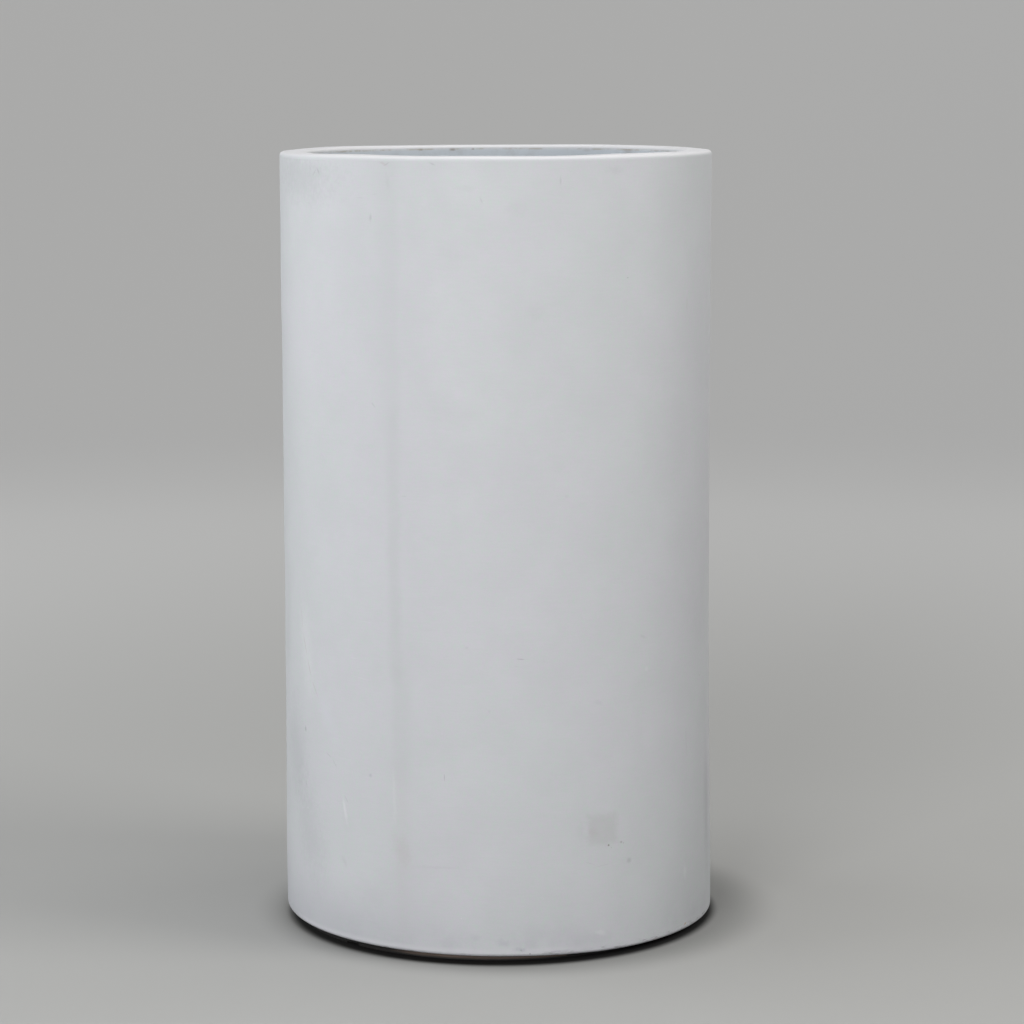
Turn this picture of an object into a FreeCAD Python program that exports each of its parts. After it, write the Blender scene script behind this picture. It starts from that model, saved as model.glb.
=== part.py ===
import FreeCAD, Part
import math
import os

# A tall round fibreglass planter, built up as a laminator would build it: two moulded half walls
# butted along two upright seams, filled outside and taped inside, a moulded rim ring bonded over
# a stiffening core, a glassed-in base board with a drain and its lift-out plug, and a dark foot
# ring set back under the wall.
# Millimetres. +Z is up, the floor is z = 0, the axis of the planter is the Z axis, front is -Y.

# ---- overall ----
height = 914.0  # floor to the top of the rim
rim_diameter = 508.0  # outside, at the rim

# ---- wall ----
wall_thickness = 5.0  # laminate, at the narrowest height
waist_draw_in = 0.6  # the wall's radius drops by this at the waist
waist_level = 530.0  # height of the narrowest place
foot_swell = 2.3  # the wall's radius grows by this at the foot
swell_top_level = 354.0  # the swell starts here, coming down
swell_full_level = 60.0  # and is full from here down
foot_edge_round = 4.0  # outer bottom edge of the wall
seam_bearing = 26.7  # degrees from the front (-Y) towards the left (-X) to the visible seam

# ---- rim ring ----
lip_width = 31.75  # outside of the wall to the inside of the lip
lip_thickness = 6.0
return_depth = 41.0  # top of the rim to the lower edge of the inner return
return_thickness = 5.0
rim_outer_round = 4.0
rim_inner_round = 4.0
return_edge_round = 1.5

# ---- rim core ----
core_thickness = 18.0

# ---- base ----
board_thickness = 12.0
skin_thickness = 3.0  # laminate over the board
tab_thickness = 2.5  # corner strip that ties the base to the wall
tab_upstand = 50.0
tab_spread = 50.0
tab_cove = 10.0  # radius in the inside corner of the strip

# ---- seams: filler outside, tape inside ----
filler_width = 36.0
filler_depth = 1.2
tape_width = 100.0
tape_thickness = 2.5

# ---- foot ring ----
foot_height = 9.0  # the shadow gap under the wall
foot_inset = 15.0  # from the wall's face at the foot to the ring's face
foot_ring_width = 45.0
foot_ring_chamfer = 1.0
notch_count = 4
notch_width = 20.0
notch_height = 3.0
notch_bearing = 45.0  # degrees about +Z from +X to the first notch

# ---- foot screws ----
screw_count = 8
screw_shank_diameter = 4.0
screw_head_diameter = 8.0
screw_head_height = 2.2
screw_head_recess = 0.8  # head below the ring's underside
screw_length = 16.0  # under the head, with its point
screw_point = 3.0
screw_slot_width = 1.0
screw_slot_depth = 0.9

# ---- drain ----
drain_bore = 32.0
sleeve_wall = 3.0
sleeve_flange_diameter = 60.0
sleeve_flange_thickness = 3.0
sleeve_flange_chamfer = 1.0
plug_head_diameter = 46.0
plug_head_thickness = 4.0
plug_head_round = 1.5
plug_stem_length = 14.0
plug_stem_chamfer = 2.0
grip_length = 30.0
grip_thickness = 7.0
grip_height = 14.0
grip_round = 2.5

# ---- clearances ----
bond_gap = 0.2  # glue line between curved faces
screw_gap = 0.1  # round a screw
plug_gap = 0.3  # plug stem in its bore

# ---- worked out from the above ----
axis_point = FreeCAD.Vector(0, 0, 0)
up = FreeCAD.Vector(0, 0, 1)

rim_radius = rim_diameter / 2
mouth_radius = rim_radius - lip_width
foot_radius = rim_radius + foot_swell
waist_radius = rim_radius - waist_draw_in
inner_radius = waist_radius - wall_thickness
lining_radius = inner_radius - bond_gap  # what is bonded to the wall's inside
wall_top = height - lip_thickness
core_bottom = wall_top - core_thickness
board_top = foot_height + board_thickness
floor_top = board_top + skin_thickness  # inside floor of the planter
tab_top = floor_top + tab_upstand
ring_outer = foot_radius - foot_inset
ring_inner = ring_outer - foot_ring_width
ring_middle = (ring_outer + ring_inner) / 2
screw_neck_level = screw_head_recess + screw_head_height
screw_tip_level = screw_neck_level + screw_length
screw_shank_top = screw_tip_level - screw_point
first_screw_angle = 180.0 / screw_count  # half a step, so that the notches fall between screws
bore_radius = drain_bore / 2
sleeve_radius = bore_radius + sleeve_wall
flange_top = floor_top + sleeve_flange_thickness
filler_bottom = foot_height + foot_edge_round  # the filler stops above the rounded edge
front_seam_angle = 270.0 - seam_bearing  # about +Z, from +X
back_seam_angle = front_seam_angle - 180.0
seam_angles = (front_seam_angle, back_seam_angle)


def point(radius, level):
    """A point of a section, drawn in the plane through +X and +Z."""
    return FreeCAD.Vector(radius, 0, level)


def line(start, end):
    """A straight edge between two points."""
    return Part.LineSegment(start, end).toShape()


def quarter(centre, radius, start_angle):
    """The points of a quarter circle in the section plane: its start, middle and end."""
    angles = [math.radians(start_angle + step) for step in (0, 45, 90)]
    return [
        centre + FreeCAD.Vector(radius * math.cos(angle), 0, radius * math.sin(angle))
        for angle in angles
    ]


def section(*pieces):
    """A closed flat face from corner points and quarter circles, in order."""
    edges = []
    last = None
    for piece in pieces:
        start = piece[0] if isinstance(piece, list) else piece
        if last is not None and last.distanceToPoint(start) > 1e-6:
            edges.append(line(last, start))
        if isinstance(piece, list):
            edges.append(Part.Arc(*piece).toShape())
            last = piece[-1]
        else:
            last = piece
    first = pieces[0][0] if isinstance(pieces[0], list) else pieces[0]
    edges.append(line(last, first))
    return Part.Face(Part.Wire(edges))


def turned(face, start_angle=0.0, sweep=360.0):
    """The section turned about the planter's axis through sweep degrees from start_angle."""
    body = face.revolve(axis_point, up, sweep)
    body.rotate(axis_point, up, start_angle)
    return body


def disc(radius, bottom, top):
    """An upright cylinder on the axis."""
    return Part.makeCylinder(radius, top - bottom, FreeCAD.Vector(0, 0, bottom))


def around(solid, count, first_angle=0.0):
    """Copies of a solid, evenly spaced about the axis."""
    copies = []
    for index in range(count):
        copy = solid.copy()
        copy.rotate(axis_point, up, first_angle + index * 360.0 / count)
        copies.append(copy)
    return copies


def wall_face_curve():
    """The wall's outer line above its bottom edge: straight at the foot, then a shallow waist."""
    levels = [
        point(foot_radius, swell_full_level),
        point((foot_radius + rim_radius) / 2, (swell_full_level + swell_top_level) / 2),
        point(rim_radius, swell_top_level),
        point(waist_radius, waist_level),
        point(rim_radius, wall_top),
    ]
    curve = Part.BSplineCurve()
    curve.interpolate(Points=levels, InitialTangent=up, FinalTangent=up)
    return curve.toShape()


def wall_section():
    """The wall's section: a straight inside and a slightly waisted outside."""
    rounding = quarter(
        point(foot_radius - foot_edge_round, foot_height + foot_edge_round), foot_edge_round, -90
    )
    edges = [
        line(point(inner_radius, wall_top), point(inner_radius, foot_height)),
        line(point(inner_radius, foot_height), rounding[0]),
        Part.Arc(*rounding).toShape(),
        line(rounding[-1], point(foot_radius, swell_full_level)),
        wall_face_curve(),
        line(point(rim_radius, wall_top), point(inner_radius, wall_top)),
    ]
    return Part.Face(Part.Wire(edges))


def wall_face_line(inset):
    """The edges of the wall's outer line above its bottom round, moved inwards by inset."""
    foot_line = line(point(foot_radius, filler_bottom), point(foot_radius, swell_full_level))
    inwards = FreeCAD.Vector(-inset, 0, 0)
    return [edge.translated(inwards) for edge in (foot_line, wall_face_curve())]


def seam_strip(depth, width, seam_angle, reach=0.0):
    """A strip of the wall's outer layer over a seam, or with a reach beyond the wall its cutter."""
    inside = wall_face_line(depth)
    if reach:
        outer = foot_radius + reach
        outside = [line(point(outer, filler_bottom), point(outer, wall_top))]
    else:
        outer = rim_radius
        outside = wall_face_line(0.0)
    foot_outer = foot_radius + reach
    ends = [
        line(point(foot_radius - depth, filler_bottom), point(foot_outer, filler_bottom)),
        line(point(rim_radius - depth, wall_top), point(outer, wall_top)),
    ]
    outline = Part.Wire(Part.__sortEdges__(inside + outside + ends))
    sweep = math.degrees(width / rim_radius)
    return turned(Part.Face(outline), seam_angle - sweep / 2, sweep)


def wall_half(start_angle):
    """Half of the wall, from one seam round to the other, with a rebate for the filler."""
    half = turned(wall_section(), start_angle, 180.0)
    for seam_angle in seam_angles:
        rebate_width = filler_width + 2 * bond_gap
        rebate = seam_strip(filler_depth + bond_gap, rebate_width, seam_angle, filler_depth)
        half = half.cut(rebate)
    return half


def seam_filler():
    """The filler flush with the wall in the rebates over its two seams."""
    return Part.makeCompound([seam_strip(filler_depth, filler_width, angle) for angle in seam_angles])


def rim_ring():
    """The moulded rim: a flat lip with rounded edges and an inner return."""
    inside = mouth_radius + return_thickness
    lower = height - return_depth
    outer = quarter(point(rim_radius - rim_outer_round, height - rim_outer_round), rim_outer_round, 0)
    inner = quarter(point(mouth_radius + rim_inner_round, height - rim_inner_round), rim_inner_round, 90)
    toe = quarter(
        point(mouth_radius + return_edge_round, lower + return_edge_round), return_edge_round, 180
    )
    return turned(
        section(
            point(rim_radius, wall_top),
            outer,
            inner,
            toe,
            point(inside, lower),
            point(inside, wall_top),
        )
    )


def rim_core():
    """The stiffening ring under the lip, between the wall and the return."""
    inside = mouth_radius + return_thickness + bond_gap
    ring = disc(lining_radius, core_bottom, wall_top)
    return ring.cut(disc(inside, core_bottom, wall_top))


def seam_tapes():
    """The strips laid up the inside of the wall over its two seams."""
    sweep = math.degrees(tape_width / lining_radius)
    inside = lining_radius - tape_thickness
    strip = section(
        point(inside, tab_top),
        point(lining_radius, tab_top),
        point(lining_radius, core_bottom),
        point(inside, core_bottom),
    )
    return Part.makeCompound([turned(strip, angle - sweep / 2, sweep) for angle in seam_angles])


def base_board():
    """The board in the bottom of the planter, with its drain hole and screw pilots."""
    board = disc(lining_radius, foot_height, board_top)
    board = board.cut(disc(sleeve_radius + bond_gap, foot_height, board_top))
    pilot = Part.makeCylinder(
        screw_shank_diameter / 2 + screw_gap,
        screw_tip_level + screw_gap - foot_height,
        point(ring_middle, foot_height),
    )
    for hole in around(pilot, screw_count, first_screw_angle):
        board = board.cut(hole)
    return board


def base_skin():
    """The laminate over the board, which is the planter's inside floor."""
    skin = disc(lining_radius, board_top, floor_top)
    return skin.cut(disc(sleeve_radius + bond_gap, board_top, floor_top))


def corner_tab():
    """The laminate strip in the corner between the inside floor and the wall."""
    inside = lining_radius - tab_thickness
    cove = quarter(
        point(inside - tab_cove, floor_top + tab_thickness + tab_cove), tab_cove, -90
    )
    return turned(
        section(
            point(lining_radius - tab_spread, floor_top),
            point(lining_radius - tab_spread, floor_top + tab_thickness),
            cove,
            point(inside, tab_top),
            point(lining_radius, tab_top),
            point(lining_radius, floor_top),
        )
    )


def screw_body(clearance=0.0):
    """Head and shank of one foot screw, or with a clearance the hole that it sits in."""
    head = screw_head_diameter / 2 + clearance
    shank = screw_shank_diameter / 2 + clearance
    cone = Part.makeCone(head, shank, screw_head_height, point(ring_middle, screw_head_recess))
    straight = screw_shank_top - screw_neck_level
    return cone.fuse(Part.makeCylinder(shank, straight, point(ring_middle, screw_neck_level)))


def foot_screws():
    """Countersunk screws that hold the foot ring to the board."""
    tip = Part.makeCone(
        screw_shank_diameter / 2, 0, screw_point, point(ring_middle, screw_shank_top)
    )
    slot = Part.makeBox(
        screw_head_diameter,
        screw_slot_width,
        screw_slot_depth,
        FreeCAD.Vector(
            ring_middle - screw_head_diameter / 2, -screw_slot_width / 2, screw_head_recess
        ),
    )
    screw = screw_body().fuse(tip).cut(slot).removeSplitter()
    return Part.makeCompound(around(screw, screw_count, first_screw_angle))


def foot_ring():
    """The ring that the planter stands on, with drain notches and countersunk holes."""
    ring = turned(
        section(
            point(ring_inner, 0),
            point(ring_outer - foot_ring_chamfer, 0),
            point(ring_outer, foot_ring_chamfer),
            point(ring_outer, foot_height),
            point(ring_inner, foot_height),
        )
    )
    notch = Part.makeBox(
        2 * foot_ring_width,
        notch_width,
        notch_height,
        FreeCAD.Vector(ring_middle - foot_ring_width, -notch_width / 2, 0),
    )
    for cutter in around(notch, notch_count, notch_bearing):
        ring = ring.cut(cutter)
    mouth = Part.makeCylinder(
        screw_head_diameter / 2 + screw_gap, screw_head_recess, point(ring_middle, 0)
    )
    hole = screw_body(screw_gap).fuse(mouth)
    for cutter in around(hole, screw_count, first_screw_angle):
        ring = ring.cut(cutter)
    return ring


def drain_sleeve():
    """The flanged tube that lines the drain hole."""
    flange = sleeve_flange_diameter / 2
    return turned(
        section(
            point(bore_radius, foot_height),
            point(sleeve_radius, foot_height),
            point(sleeve_radius, floor_top),
            point(flange, floor_top),
            point(flange, flange_top - sleeve_flange_chamfer),
            point(flange - sleeve_flange_chamfer, flange_top),
            point(bore_radius, flange_top),
        )
    )


def drain_plug():
    """The bung that closes the drain: stem, head and a bar to lift it by."""
    head = plug_head_diameter / 2
    stem = bore_radius - plug_gap
    head_top = flange_top + plug_head_thickness
    rounding = quarter(point(head - plug_head_round, head_top - plug_head_round), plug_head_round, 0)
    plug = turned(
        section(
            point(0, flange_top - plug_stem_length),
            point(stem - plug_stem_chamfer, flange_top - plug_stem_length),
            point(stem, flange_top - plug_stem_length + plug_stem_chamfer),
            point(stem, flange_top),
            point(head, flange_top),
            rounding,
            point(0, head_top),
        )
    )
    bar = Part.makeBox(
        grip_length,
        grip_thickness,
        grip_height,
        FreeCAD.Vector(-grip_length / 2, -grip_thickness / 2, head_top),
    )
    top_edges = [edge for edge in bar.Edges if edge.BoundBox.ZMin > head_top]
    bar = bar.makeFillet(grip_round, top_edges)
    return plug.fuse(bar).removeSplitter()


pieces = {
    "wall_left": wall_half(back_seam_angle),
    "wall_right": wall_half(front_seam_angle),
    "rim_ring": rim_ring(),
    "rim_core": rim_core(),
    "seam_filler": seam_filler(),
    "seam_tapes": seam_tapes(),
    "base_board": base_board(),
    "base_skin": base_skin(),
    "corner_tab": corner_tab(),
    "foot_ring": foot_ring(),
    "foot_screws": foot_screws(),
    "drain_sleeve": drain_sleeve(),
    "drain_plug": drain_plug(),
}

os.makedirs("parts", exist_ok=True)
for name, shape in pieces.items():
    shape.exportStep("parts/" + name + ".step")
    print(name, len(shape.Solids), "solids", round(shape.Volume / 1000.0, 2), "cm3", shape.isValid())
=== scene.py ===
"""The looks of a tall fibreglass planter, dressed round its packed construction model.

Metres throughout, in the model's own frame: +Z is up, the floor is z = 0 and the front is -Y.
A bearing is an angle about the planter's axis, in radians, from the front round to the right.
An arc is a bearing times the wall's radius, so that a place on the wall is (arc, level).
Pixel places are those of the photograph, 1024 x 1024.
"""

import logging
import math
from dataclasses import dataclass, field
from enum import Enum
from functools import reduce

import bpy
import numpy as np
from mathutils import Matrix, Vector


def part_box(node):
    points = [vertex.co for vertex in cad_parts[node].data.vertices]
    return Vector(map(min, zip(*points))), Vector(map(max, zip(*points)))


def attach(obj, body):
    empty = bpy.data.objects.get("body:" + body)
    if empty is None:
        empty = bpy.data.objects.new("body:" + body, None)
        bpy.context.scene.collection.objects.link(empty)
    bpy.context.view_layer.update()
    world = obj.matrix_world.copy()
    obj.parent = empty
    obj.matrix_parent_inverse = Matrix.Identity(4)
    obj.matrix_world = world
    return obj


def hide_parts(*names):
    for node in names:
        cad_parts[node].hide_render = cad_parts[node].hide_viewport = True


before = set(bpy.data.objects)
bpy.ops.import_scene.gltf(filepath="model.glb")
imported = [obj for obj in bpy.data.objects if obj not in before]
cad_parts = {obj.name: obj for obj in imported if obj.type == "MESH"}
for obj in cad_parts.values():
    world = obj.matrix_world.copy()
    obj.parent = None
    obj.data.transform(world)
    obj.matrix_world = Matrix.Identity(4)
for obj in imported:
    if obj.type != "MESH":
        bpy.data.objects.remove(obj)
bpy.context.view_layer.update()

log = logging.getLogger("planter")

MM = 0.001
Array = np.ndarray
Pixel = tuple[float, float]
Section = list[tuple[float, float]]
Triple = tuple[float, float, float]
Fade = tuple[float, float, float, float]
Socket = bpy.types.NodeSocket
Material = bpy.types.Material
Mesh = bpy.types.Mesh

SAME_WAY = 0.9
WHITE = (1.0, 1.0, 1.0, 1.0)
COOL_LIGHT = (0.95, 0.98, 1.0)
WARM_LIGHT = (1.0, 0.985, 0.95)


# ---------------------------------------------------------------------------------------------
# Sizes and the camera
# ---------------------------------------------------------------------------------------------


@dataclass(frozen=True)
class Sizes:
    """The planter's sizes, read from the frame or repeated from the construction model."""

    height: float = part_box("rim_ring")[1].z
    rim_radius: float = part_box("rim_ring")[1].x
    foot_radius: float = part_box("wall_right")[1].x
    foot_level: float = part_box("wall_right")[0].z
    lining_radius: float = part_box("rim_core")[1].x
    wall_top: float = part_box("wall_right")[1].z
    core_bottom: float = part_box("rim_core")[0].z
    floor_top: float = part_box("base_skin")[1].z
    board_top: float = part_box("base_skin")[0].z
    tab_top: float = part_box("corner_tab")[1].z
    return_bottom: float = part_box("rim_ring")[0].z
    sleeve_radius: float = 19 * MM
    bore_radius: float = 16 * MM
    lip_width: float = 31.75 * MM
    bond_gap: float = 0.2 * MM
    foot_edge_round: float = 4 * MM
    filler_width: float = 36 * MM
    filler_depth: float = 1.2 * MM
    tape_width: float = 100 * MM
    tape_thickness: float = 2.5 * MM
    tab_spread: float = 50 * MM
    seam_bearing: float = math.radians(-26.7)

    @property
    def filler_half(self) -> float:
        """The bearing from the middle of a strip of filler to its edge."""
        return self.filler_width / 2 / self.rim_radius

    @property
    def inner_radius(self) -> float:
        """The inside face of the wall."""
        return self.lining_radius + self.bond_gap

    @property
    def mouth_radius(self) -> float:
        """The inside of the lip."""
        return self.rim_radius - self.lip_width

    @property
    def seam_bearings(self) -> tuple[float, float]:
        """The visible seam and the one behind it."""
        return self.seam_bearing, self.seam_bearing + math.pi


@dataclass(frozen=True)
class Viewpoint:
    """The photograph's camera, as fitted to the planter's real size."""

    focal: float = 109.93 * MM
    sensor: float = 36 * MM
    frame_pixels: float = 1024.0
    distance: float = 3.70293
    height: float = 1.01873
    pitch: float = 0.14357
    yaw: float = 0.00472
    roll: float = -0.00382
    far_steps: int = 721

    @property
    def focal_pixels(self) -> float:
        """The focal length in pixels of the photograph."""
        return self.focal / self.sensor * self.frame_pixels

    def axes(self) -> tuple[Array, Array, Array]:
        """The camera's directions.

        Returns:
            Unit vectors to the right, up and forwards.
        """
        flat = math.cos(self.pitch)
        forward = np.array([math.sin(self.yaw) * flat, math.cos(self.yaw) * flat, -math.sin(self.pitch)])
        level_right = np.array([math.cos(self.yaw), -math.sin(self.yaw), 0.0])
        level_up = np.cross(level_right, forward)
        right = level_right * math.cos(self.roll) + level_up * math.sin(self.roll)
        up = level_up * math.cos(self.roll) - level_right * math.sin(self.roll)
        return right, up, forward

    def eye(self) -> Array:
        """Where the camera stands."""
        return np.array([0.0, -self.distance, self.height])

    def project(self, points: Array) -> Array:
        """Where points of the model fall in the photograph.

        Args:
            points: any number of points, the last axis holding x, y and z.

        Returns:
            Their pixel places, with x and y on the last axis.
        """
        right, up, forward = self.axes()
        rays = points - self.eye()
        depth = rays @ forward
        middle = self.frame_pixels / 2
        across = middle + self.focal_pixels * (rays @ right) / depth
        down = middle - self.focal_pixels * (rays @ up) / depth
        return np.stack([across, down], axis=-1)

    def on_wall(self, pixel: Pixel, radius: float) -> tuple[float, float]:
        """The place on the front of the wall that a pixel shows.

        Args:
            pixel: a place in the photograph.
            radius: the wall's radius there.

        Returns:
            Bearing and level. Beside the wall, the place on its outline at that height.
        """
        right, up, forward = self.axes()
        middle = self.frame_pixels / 2
        ray = forward + right * (pixel[0] - middle) / self.focal_pixels
        ray = ray - up * (pixel[1] - middle) / self.focal_pixels
        eye = self.eye()
        square = ray[:2] @ ray[:2]
        half = eye[:2] @ ray[:2]
        reach = max(half * half - square * (eye[:2] @ eye[:2] - radius * radius), 0.0)
        place = eye + ray * (-half - math.sqrt(reach)) / square
        return math.atan2(place[0], -place[1]), float(place[2])

    def on_far_mouth(self, across: float, radius: float, level: float) -> float:
        """The bearing on the far side of the mouth that a pixel column shows.

        Args:
            across: the pixel's x.
            radius: the mouth's radius.
            level: the height of the edge.

        Returns:
            The bearing, which is beyond a quarter turn.
        """
        bearings = np.linspace(1.5 * math.pi, 0.5 * math.pi, self.far_steps)
        edge = radius * np.stack([np.sin(bearings), -np.cos(bearings), 0 * bearings], axis=-1)
        edge[:, 2] = level
        return float(np.interp(across, self.project(edge)[:, 0], bearings))

    def build(self) -> bpy.types.Object:
        """Makes the camera and gives it to the scene.

        Returns:
            The camera.
        """
        data = bpy.data.cameras.new("photo_camera")
        data.sensor_fit = "HORIZONTAL"
        data.sensor_width = self.sensor / MM
        data.lens = self.focal / MM
        camera = bpy.data.objects.new("photo_camera", data)
        right, up, forward = self.axes()
        turn = Matrix((right, up, -forward)).transposed().to_4x4()
        camera.matrix_world = Matrix.Translation(Vector(self.eye())) @ turn
        bpy.context.scene.collection.objects.link(camera)
        bpy.context.scene.camera = camera
        return camera


SIZES = Sizes()
PHOTO = Viewpoint()


# ---------------------------------------------------------------------------------------------
# The studio
# ---------------------------------------------------------------------------------------------


@dataclass(frozen=True)
class SoftBox:
    """One large square light, aimed at the planter's middle."""

    name: str
    bearing: float
    elevation: float
    watts: float
    colour: Triple = WHITE[:3]
    size: float = 1.6
    distance: float = 4.0
    aim_level: float = 0.5

    def build(self) -> None:
        """Hangs the light, out of the camera's sight."""
        data = bpy.data.lights.new(self.name, "AREA")
        data.shape = "SQUARE"
        data.size = self.size
        data.energy = self.watts
        data.color = self.colour
        lamp = bpy.data.objects.new(self.name, data)
        bearing, elevation = math.radians(self.bearing), math.radians(self.elevation)
        flat = self.distance * math.cos(elevation)
        outwards = Vector((
            flat * math.sin(bearing), -flat * math.cos(bearing), self.distance * math.sin(elevation)
        ))
        lamp.location = outwards + Vector((0.0, 0.0, self.aim_level))
        lamp.rotation_euler = (-outwards).to_track_quat("-Z", "Y").to_euler()
        lamp.visible_camera = False
        bpy.context.scene.collection.objects.link(lamp)


@dataclass(frozen=True)
class Studio:
    """A plain pale floor that curves up all round, with soft boxes over it."""

    inner_rings: tuple[float, float] = (1.0, 3.0)
    floor_radius: float = 4.8
    cove_radius: float = 2.2
    cove_height: float = 6.0
    columns: int = 96
    cove_steps: int = 16
    sky_strength: float = 0.02
    lights: tuple[SoftBox, ...] = (
        SoftBox("front_box", -20.0, 12.0, 73.5),
        SoftBox("left_low_box", -110.0, 12.0, 32.0, COOL_LIGHT),
        SoftBox("left_box", -80.0, 35.0, 18.0, COOL_LIGHT),
        SoftBox("right_box", 70.0, 35.0, 49.5, WARM_LIGHT),
        SoftBox("right_far_box", 110.0, 35.0, 11.5, WARM_LIGHT),
        SoftBox("top_box", 0.0, 88.0, 30.0, size=1.8, distance=3.3),
        SoftBox("back_box", 180.0, 60.0, 8.0, size=1.8, distance=3.3),
    )

    def build(self) -> None:
        """Makes the floor, the lights and the sky."""
        self._floor()
        for light in self.lights:
            light.build()
        world = bpy.data.worlds.new("studio_sky")
        world.use_nodes = True
        sky = world.node_tree.nodes["Background"]
        sky.inputs["Color"].default_value = WHITE
        sky.inputs["Strength"].default_value = self.sky_strength
        bpy.context.scene.world = world
        bpy.context.scene.view_settings.view_transform = "Standard"
        log.info("studio: %d lights", len(self.lights))

    def _floor(self) -> None:
        """The floor and its cove, one round sheet."""
        turns = np.linspace(0.0, math.pi / 2, self.cove_steps)
        radii = [*self.inner_rings, *(self.floor_radius + self.cove_radius * np.sin(turns))]
        levels = [0.0, 0.0, *(self.cove_radius * (1 - np.cos(turns))), self.cove_height]
        radii.append(radii[-1])
        rings = [ring_points(full_turn(self.columns), *ring) for ring in zip(radii, levels)]
        points = np.concatenate([np.zeros((1, 3)), *rings]).tolist()
        faces = [(0, 1 + j, 1 + (j + 1) % self.columns) for j in range(self.columns)]
        for ring in range(len(rings) - 1):
            inner, outer = 1 + ring * self.columns, 1 + (ring + 1) * self.columns
            for j in range(self.columns):
                k = (j + 1) % self.columns
                faces.append((inner + j, outer + j, outer + k, inner + k))
        mesh = bpy.data.meshes.new("studio_floor")
        mesh.from_pydata(points, [], faces)
        mesh.shade_smooth()
        floor = bpy.data.objects.new("studio_floor", mesh)
        bpy.context.scene.collection.objects.link(floor)
        mesh.materials.append(FloorPaint().material())


# ---------------------------------------------------------------------------------------------
# Colour and node helpers
# ---------------------------------------------------------------------------------------------


@dataclass(frozen=True)
class Swatch:
    """A colour in the photograph's steps, 0 to 255."""

    red: float
    green: float
    blue: float

    def linear(self) -> tuple[float, float, float, float]:
        """The colour as the shader takes it."""
        return (*(self._channel(step / 255) for step in (self.red, self.green, self.blue)), 1.0)

    @staticmethod
    def _channel(share: float) -> float:
        """One channel without the display's curve."""
        return share / 12.92 if share <= 0.04045 else ((share + 0.055) / 1.055) ** 2.4


Feed = Socket | Swatch | float | tuple[float, ...]


class Blend(Enum):
    """How one colour is laid over another."""

    OVER = "MIX"
    TIMES = "MULTIPLY"


@dataclass(frozen=True)
class Cloud:
    """Cloudy noise about one half, and the part of its range over which something comes and goes.

    `size` is that of the clouds: one length, or three along axes turned by `turn`. `detail` is how
    many finer layers they have and `roughness` how strong these are. Made into patches, they run
    from `start` at `low` to `end` at `high`.
    """

    size: float | Triple
    detail: float = 2.0
    roughness: float = 0.5
    low: float = 0.0
    high: float = 1.0
    start: float = 0.0
    end: float = 1.0
    turn: Triple = (0.0, 0.0, 0.0)


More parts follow.
